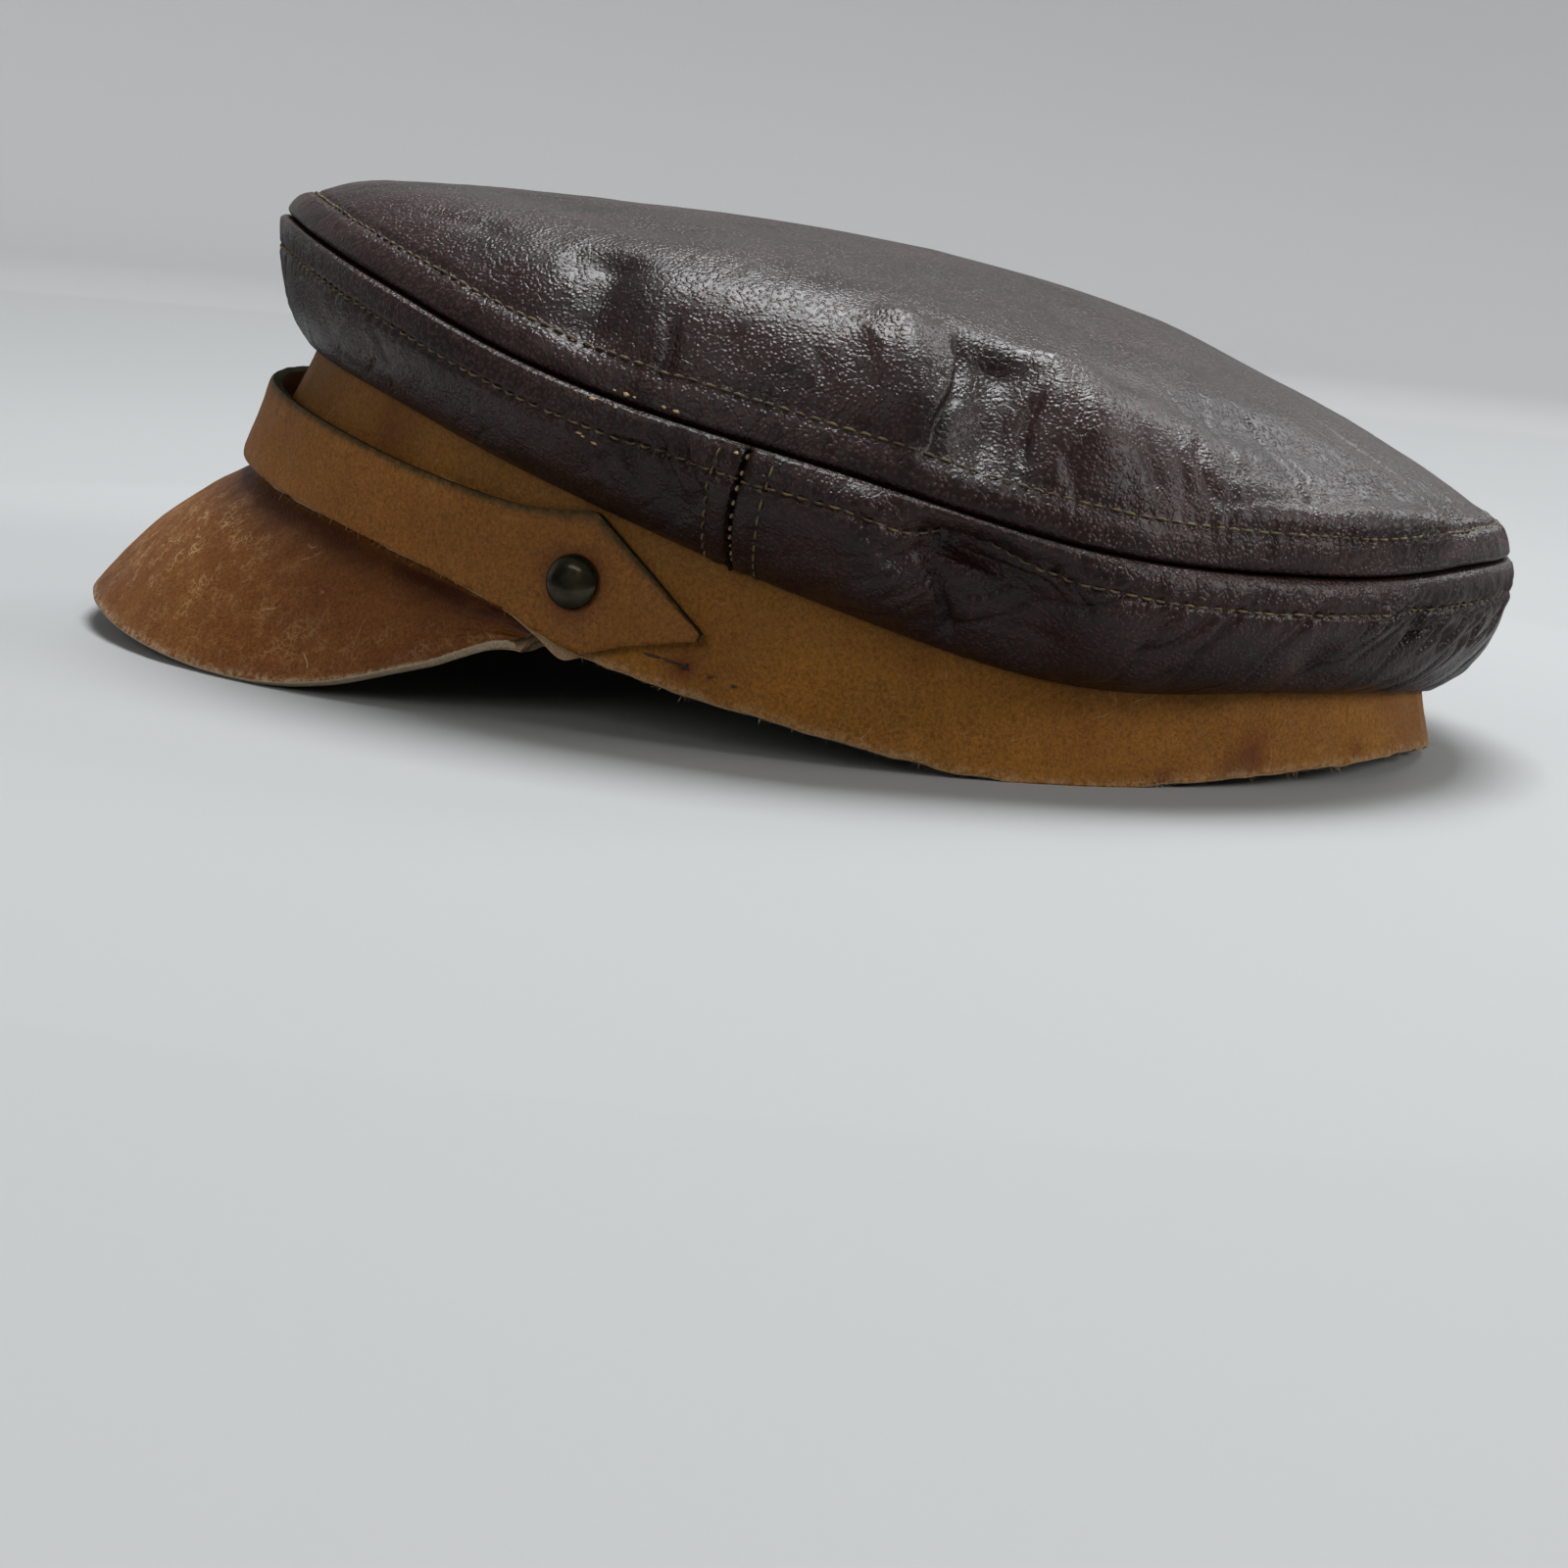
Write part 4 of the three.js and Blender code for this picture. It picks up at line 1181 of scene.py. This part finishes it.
# The crevice colour is painted shade in the grain's hollows.
CROWN_CREVICE_SHADE = (0.003, 0.0015, 0.0013)
CROWN_FLESH = (0.006, 0.004, 0.0035)
CROWN_ROUGH = 0.34
CROWN_SPECULAR = 0.34

# Tan leather: the crackle, the band's painted shade under the crown, and the two colours of its inside
CRACKLE_COLOUR = (0.42, 0.27, 0.13)
SHADE_COLOUR = (0.035, 0.020, 0.010)
FLESH_COLOURS = ((0.20, 0.125, 0.065), (0.30, 0.20, 0.115))
TAN_SPECULAR = 0.16
LEATHER_IOR = 1.45


class Shader:
    """A material's nodes, added one by one and linked by their inputs."""

    def __init__(self, name):
        self.material = bpy.data.materials.new(name)
        self.material.use_nodes = True
        self.tree = self.material.node_tree
        self.tree.nodes.clear()
        self.place = self.add("ShaderNodeTexCoord").outputs["Object"]

    def add(self, kind, settings=None, **inputs):
        node = self.tree.nodes.new(kind)
        for key, value in (settings or {}).items():
            setattr(node, key, value)
        for key, value in inputs.items():
            self.feed(node.inputs[key.replace("_", " ")], value)
        return node

    def feed(self, socket, value):
        if isinstance(value, bpy.types.NodeSocket):
            self.tree.links.new(value, socket)
        elif isinstance(value, tuple) and len(value) == 3 and socket.type == "RGBA":
            socket.default_value = (*value, 1)
        else:
            socket.default_value = value

    def noise(self, size, detail=3.0, roughness=0.55, distortion=0.0):
        """Noise whose largest features are size millimetres across."""
        return self.add(
            "ShaderNodeTexNoise", Vector=self.place, Scale=1000 / size,
            Detail=detail, Roughness=roughness, Distortion=distortion,
        ).outputs["Fac"]

    def cells(self, size, feature, place):
        node = self.add("ShaderNodeTexVoronoi", {"feature": feature}, Vector=place, Scale=1000 / size)
        return node.outputs["Distance"]

    def range(self, value, low, high, to_low=0.0, to_high=1.0):
        return self.add(
            "ShaderNodeMapRange", {"interpolation_type": "SMOOTHSTEP"}, Value=value,
            From_Min=low, From_Max=high, To_Min=to_low, To_Max=to_high,
        ).outputs["Result"]

    def patches(self, size, detail, roughness, *limits):
        """Noise with its values moved to new limits, as in range."""
        return self.range(self.noise(size, detail, roughness), *limits)

    def cracks(self, size, width, bent, strength=1.0):
        """Lines between cells of a size in millimetres, as wide as a share of it."""
        edges = self.cells(size, "DISTANCE_TO_EDGE", self.bent(*bent))
        return self.range(edges, 0.0, width, strength, 0.0)

    def compute(self, kind, operation, *values, **inputs):
        node = self.add(kind, {"operation": operation}, **inputs)
        for socket, value in zip(node.inputs, values):
            self.feed(socket, value)
        return node.outputs[0]

    def math(self, operation, first, second):
        return self.compute("ShaderNodeMath", operation, first, second)

    def vector(self, operation, *values, **inputs):
        return self.compute("ShaderNodeVectorMath", operation, *values, **inputs)

    def times(self, first, second):
        return self.math("MULTIPLY", first, second)

    def mix(self, share, first, second, blend="MIX"):
        node = self.add("ShaderNodeMix", {"data_type": "RGBA", "blend_type": blend})
        self.feed(node.inputs[0], share)
        self.feed(node.inputs[6], first)
        self.feed(node.inputs[7], second)
        return node.outputs[2]

    def painted(self, name):
        return self.add("ShaderNodeAttribute", {"attribute_name": name}).outputs["Fac"]

    def bent(self, size, strength):
        """Object coordinates pushed about by noise, by strength millimetres."""
        push = self.add("ShaderNodeTexNoise", Vector=self.place, Scale=1000 / size, Detail=2.0)
        centred = self.vector("SUBTRACT", push.outputs["Color"], (0.5, 0.5, 0.5))
        return self.vector("ADD", self.place, self.vector("SCALE", centred, Scale=strength / 1000))

    def bump(self, height, depth, normal=None):
        """A bump of depth millimetres."""
        node = self.add("ShaderNodeBump", Height=height, Distance=depth / 1000, Strength=1.0)
        if normal:
            self.feed(node.inputs["Normal"], normal)
        return node.outputs["Normal"]

    def finish(self, **inputs):
        shader = self.add("ShaderNodeBsdfPrincipled", **inputs)
        self.add("ShaderNodeOutputMaterial", Surface=shader.outputs["BSDF"])
        return self.material


def crown_leather():
    """Dark oxblood leather: glossy, with a fine pebble grain that breaks up its highlights."""
    s = Shader("crown_leather")
    dome = s.range(s.cells(0.72, "F1", s.bent(1.5, 0.35)), 0.0, 0.62, 1.0, 0.0)
    fine = s.noise(0.34, 2, 0.55)
    network = s.range(s.cells(2.4, "DISTANCE_TO_EDGE", s.bent(3.0, 1.6)), 0.0, 0.09)
    fold = s.noise(3.2, 3, 0.55, distortion=0.5)
    loose = s.patches(14, 3, 0.6, 0.3, 0.7, 0.3, 1.0)
    normal = s.bump(s.times(fold, loose), CROWN_FOLD)
    normal = s.bump(s.times(network, loose), CROWN_NETWORK, normal)
    normal = s.bump(dome, CROWN_GRAIN, normal)
    normal = s.bump(fine, CROWN_FINE, normal)
    colour = s.mix(s.patches(24, 5, 0.6, 0.35, 0.68), CROWN_DARK, CROWN_LIGHT)
    colour = s.mix(s.patches(1.1, 3, 0.7, 0.5, 0.78, 0, 0.4), colour, CROWN_SCUFFED)
    rub = s.times(s.painted("rub"), s.patches(2.0, 4, 0.7, 0.42, 0.66))
    colour = s.mix(s.times(rub, 0.5), colour, CROWN_RUBBED)
    # Painted shade in the grain's hollows between the pebbles.
    colour = s.mix(s.range(dome, 0.0, 0.5, 0.6, 0.0), colour, CROWN_CREVICE_SHADE)
    colour = s.mix(s.painted("flesh"), colour, CROWN_FLESH)
    rough = s.patches(9, 5, 0.6, 0.3, 0.7, CROWN_ROUGH, CROWN_ROUGH + 0.12)
    rough = s.math("ADD", rough, s.times(s.painted("flesh"), 0.5))
    return s.finish(
        Base_Color=colour, Roughness=rough, Normal=normal, IOR=LEATHER_IOR,
        Specular_IOR_Level=CROWN_SPECULAR,
    )


def tan_leather(name, dark, main, light, stained, roughness, grain=1.0, crackled=False, shaded=False,
                raw=(0.36, 0.26, 0.16), raw_top=(0.050, 0.034, 0.012)):
    """Vegetable-tanned leather, mottled and rubbed, with raw cut edges."""
    s = Shader(name)
    pores = s.range(s.cells(0.55, "F1", s.bent(2.0, 0.8)), 0.1, 0.6)
    fine = s.noise(0.5, 4, 0.7)
    fold = s.noise(2.4, 3, 0.6, distortion=0.8)
    normal = s.bump(fold, 0.09 * grain)
    normal = s.bump(pores, 0.035 * grain, normal)
    normal = s.bump(fine, 0.09 * grain, normal)
    colour = s.mix(s.patches(34, 6, 0.6, 0.30, 0.66), dark, main)
    colour = s.mix(s.patches(9, 7, 0.75, 0.48, 0.80, 0, 0.5), colour, light)
    speck = s.range(s.noise(0.6, 4, 0.8, distortion=0.6), 0.32, 0.68, 0.62, 1.32)
    grey = s.add("ShaderNodeCombineColor", Red=speck, Green=speck, Blue=speck).outputs[0]
    colour = s.mix(1.0, colour, grey, "MULTIPLY")
    for size, thin, strength in ((7.0, 0.012, 0.35), (11.0, 0.010, 0.45)):
        scratch = s.cracks(size, thin, (size, size * 0.7))
        kept = s.patches(size * 0.8, 2, 0.5, 0.63, 0.68, 0, strength)
        colour = s.mix(s.times(scratch, kept), colour, raw)
    # The stain mask mixes real stains with painted shade: the peak's root and the rivets' seats.
    stain = s.times(s.painted("stain"), s.patches(8, 4, 0.6, 0.25, 0.6, 0.55, 1.0))
    colour = s.mix(stain, colour, stained)
    if crackled:
        lines = s.math("MAXIMUM", s.cracks(3.0, 0.06, (2.0, 2.2)), s.cracks(1.5, 0.11, (1.4, 1.1), 0.75))
        broken = s.patches(4.5, 5, 0.7, 0.44, 0.60)
        crackle = s.times(s.times(lines, broken), s.painted("crackle"))
        colour = s.mix(s.times(crackle, 0.8), colour, CRACKLE_COLOUR)
        normal = s.bump(crackle, 0.05, normal)
    # Painted shade on the band's upper part, under the crown.
    if shaded:
        colour = s.mix(s.times(s.painted("shade"), 0.35), colour, SHADE_COLOUR)
    fibre = s.patches(0.5, 4, 0.8, 0.35, 0.65)
    frayed = s.times(s.painted("fray"), s.patches(1.3, 4, 0.8, 0.40, 0.62, 0, 0.4))
    colour = s.mix(frayed, colour, raw)
    lower = s.painted("lower")
    upper = s.math("SUBTRACT", s.painted("edge"), lower)
    colour = s.mix(s.times(lower, s.range(fibre, 0, 1, 0.7, 1.0)), colour, raw)
    worn = s.patches(1.6, 4, 0.7, 0.35, 0.6, 0.55, 1.0)
    upper = s.math("MAXIMUM", upper, s.times(s.painted("burnish"), worn))
    colour = s.mix(upper, colour, raw_top)
    colour = s.mix(s.painted("flesh"), colour, s.mix(fibre, *FLESH_COLOURS))
    rough = s.patches(7, 4, 0.6, 0.3, 0.7, roughness, roughness + 0.14)
    rough = s.math("ADD", rough, s.times(s.painted("edge"), 0.3))
    normal = s.bump(s.times(s.painted("edge"), fibre), 0.12, normal)
    return s.finish(
        Base_Color=colour, Roughness=rough, Normal=normal, IOR=LEATHER_IOR,
        Specular_IOR_Level=TAN_SPECULAR,
    )


def antique_brass():
    s = Shader("antique_brass")
    colour = s.mix(s.patches(3.2, 3, 0.6, 0.35, 0.7), (0.017, 0.015, 0.007), (0.046, 0.039, 0.019))
    rough = s.range(s.noise(1.2, 3), 0.3, 0.7, 0.14, 0.24)
    normal = s.bump(s.noise(0.8, 2), 0.003)
    return s.finish(Base_Color=colour, Roughness=rough, Metallic=0.7, Normal=normal)


def thread(name, dark, light):
    s = Shader(name)
    colour = s.mix(s.patches(2.2, 3, 0.7, 0.35, 0.65), dark, light)
    normal = s.bump(s.noise(0.22, 2), 0.08)
    return s.finish(Base_Color=colour, Roughness=0.75, Normal=normal)


def floor_paint():
    s = Shader("floor")
    away = s.add("ShaderNodeVectorMath", {"operation": "LENGTH"}, Vector=s.place).outputs["Value"]
    # Painted light: lighter paint further out, where less lamp light falls.
    colour = s.mix(s.range(away, FLOOR_NEAR, FLOOR_FAR), FLOOR_COLOUR, WALL_COLOUR)
    return s.finish(Base_Color=colour, Roughness=0.85, Normal=s.bump(s.noise(4, 3), 0.05))


# Stage

# The floor's paint near the cap, the paint of the wall, and where one starts to turn into the other
# The paint grows lighter away from the cap: painted light that makes up for the lamps' light falling off
# with distance.
FLOOR_COLOUR = (0.265, 0.268, 0.268)
WALL_COLOUR = (0.66, 0.66, 0.66)
FLOOR_NEAR = 0.5
FLOOR_FAR = 2.3
CARD_COLOUR = (0.02, 0.02, 0.02)

# The flat of the floor, the bend at its rim and the straight part of the wall, in metres
FLOOR_FLAT = 1.7
FLOOR_BEND = 0.9
WALL_HEIGHT = 0.9

# Lamps: place and size in metres, power in watts and colour
LAMP_AIM = (0, 0, 0.03)
LAMPS = {
    "ceiling": ((-0.30, 0.05, 1.40), (0.7, 0.8), 38, (0.95, 0.98, 1.0)),
    "window": ((-1.0, 0.8, 1.05), (0.5, 0.5), 6, (0.95, 0.98, 1.0)),
    "rear": ((0.4, 1.5, 0.8), (0.8, 0.5), 17, (1.0, 0.99, 0.97)),
    "fill": ((1.6, -0.9, 0.9), (1.0, 1.0), 10, (1.0, 0.97, 0.93)),
}
WORLD_COLOUR = (0.95, 0.97, 1.0)
WORLD_STRENGTH = 0.22


def about_upright(profile, angles):
    """Rows of points about the vertical, one for each radius and height in metres."""
    return [(r * math.cos(a), r * math.sin(a), z) for r, z in profile for a in np.radians(angles)]


def backdrop():
    """A floor that rises on every side into a wall, so that no view shows an edge."""
    profile = [(r, 0) for r in (0, 0.3, 0.6, 1.0, 1.4, FLOOR_FLAT)]
    for angle in np.radians(np.linspace(6, 90, 15)):
        rise = FLOOR_BEND * (1 - math.cos(angle))
        profile.append((FLOOR_FLAT + FLOOR_BEND * math.sin(angle), rise))
    profile.append((FLOOR_FLAT + FLOOR_BEND, FLOOR_BEND + WALL_HEIGHT))
    angles = np.linspace(0, 360, 96, endpoint=False)
    faces = grid_faces(len(profile), len(angles), True)[:, ::-1].tolist()
    floor = mesh_object("floor", about_upright(profile, angles), faces, floor_paint(), True)


def dark_card(name, profile, angles, closed):
    """A studio's dark card. Only the cap's gloss sees it, so the leather's sides reflect it."""
    faces = grid_faces(len(profile), len(angles), closed).tolist()
    black = Shader(name).finish(Base_Color=CARD_COLOUR, Roughness=1.0)
    card = mesh_object(name, about_upright(profile, angles), faces, black, False)
    card.visible_camera = False
    card.visible_diffuse = False
    card.visible_shadow = False


def dark_cards():
    """One card stands behind the camera and one lies on the floor round the cap."""
    dark_card("camera_side_card", ((1.2, 0.01), (1.2, 0.75)), np.linspace(-80, 80, 17), False)
    dark_card("floor_card", ((0.26, 0.001), (1.15, 0.001)), np.linspace(0, 360, 32, endpoint=False), True)


def lamp(name, place, size, watts, colour):
    """A soft lamp that shines on the middle of the cap."""
    light = bpy.data.lights.new(name, "AREA")
    light.shape = "RECTANGLE"
    light.size, light.size_y = size
    light.energy = watts
    light.color = colour
    piece = link(name, light)
    piece.location = place
    piece.rotation_euler = (Vector(LAMP_AIM) - Vector(place)).to_track_quat("-Z", "Y").to_euler()


def world():
    """A plain pale surround."""
    sky = bpy.data.worlds.new("surround")
    sky.use_nodes = True
    background = sky.node_tree.nodes["Background"]
    background.inputs["Color"].default_value = (*WORLD_COLOUR, 1)
    background.inputs["Strength"].default_value = WORLD_STRENGTH
    bpy.context.scene.world = sky


def camera():
    """The photograph's viewing angle, in the row frame."""
    data = bpy.data.cameras.new("camera")
    data.sensor_width = 36
    data.lens = CAMERA_LENS
    piece = link("camera", data)
    place = Matrix.Translation(Vector(CAMERA_PLACE) / 1000)
    for degrees, axis in ((CAMERA_AZIMUTH, "Z"), (90 - CAMERA_ELEVATION, "X"), (CAMERA_ROLL, "Z")):
        place = place @ Matrix.Rotation(math.radians(degrees), 4, axis)
    piece.matrix_world = place
    bpy.context.scene.camera = piece


CROWN = crown_leather()
BAND = tan_leather(
    "band_leather", (0.145, 0.058, 0.0080), (0.190, 0.078, 0.0105), (0.26, 0.118, 0.022),
    (0.080, 0.020, 0.005), 0.62, shaded=True,
)
PEAK_SKIN = tan_leather(
    "peak_leather", (0.090, 0.026, 0.0042), (0.142, 0.049, 0.0074), (0.21, 0.088, 0.020),
    (0.034, 0.0088, 0.0028), 0.48, grain=1.2, crackled=True, raw=(0.50, 0.40, 0.27),
)
STRAP_SKIN = tan_leather(
    "strap_leather", (0.145, 0.054, 0.0085), (0.190, 0.075, 0.0125), (0.245, 0.108, 0.023),
    (0.060, 0.017, 0.004), 0.52, grain=0.9, raw=(0.30, 0.185, 0.085), raw_top=(0.026, 0.023, 0.008),
)
BRASS = antique_brass()
OLIVE_THREAD = thread("olive_thread", (0.034, 0.023, 0.0085), (0.115, 0.080, 0.030))
PALE_THREAD = thread("pale_thread", (0.18, 0.13, 0.06), (0.32, 0.25, 0.14))
DARK_THREAD = thread("dark_thread", (0.016, 0.008, 0.004), (0.045, 0.022, 0.010))
RAW_HIDE = thread("raw_hide", (0.26, 0.15, 0.065), (0.46, 0.30, 0.16))
PALE_FIBRE = thread("pale_fibre", (0.30, 0.19, 0.09), (0.46, 0.33, 0.19))

top = crown_top()
sides = (
    crown_side("crown_side_front_leather", "crown_side_front", SIDE_SEAM_TURN, 360 - SIDE_SEAM_TURN),
    crown_side("crown_side_back_leather", "crown_side_back", -SIDE_SEAM_TURN, SIDE_SEAM_TURN),
)
band()
peak()
strap()
rivets()
crown_stitches(top, sides)
seam_threads(sides)
band_fibres()
old_threads()
chips(top, sides[0])

backdrop()
dark_cards()
world()
for name, (place, size, watts, tint) in LAMPS.items():
    lamp(name, place, size, watts, tint)
camera()
bpy.context.scene.view_settings.view_transform = "Standard"
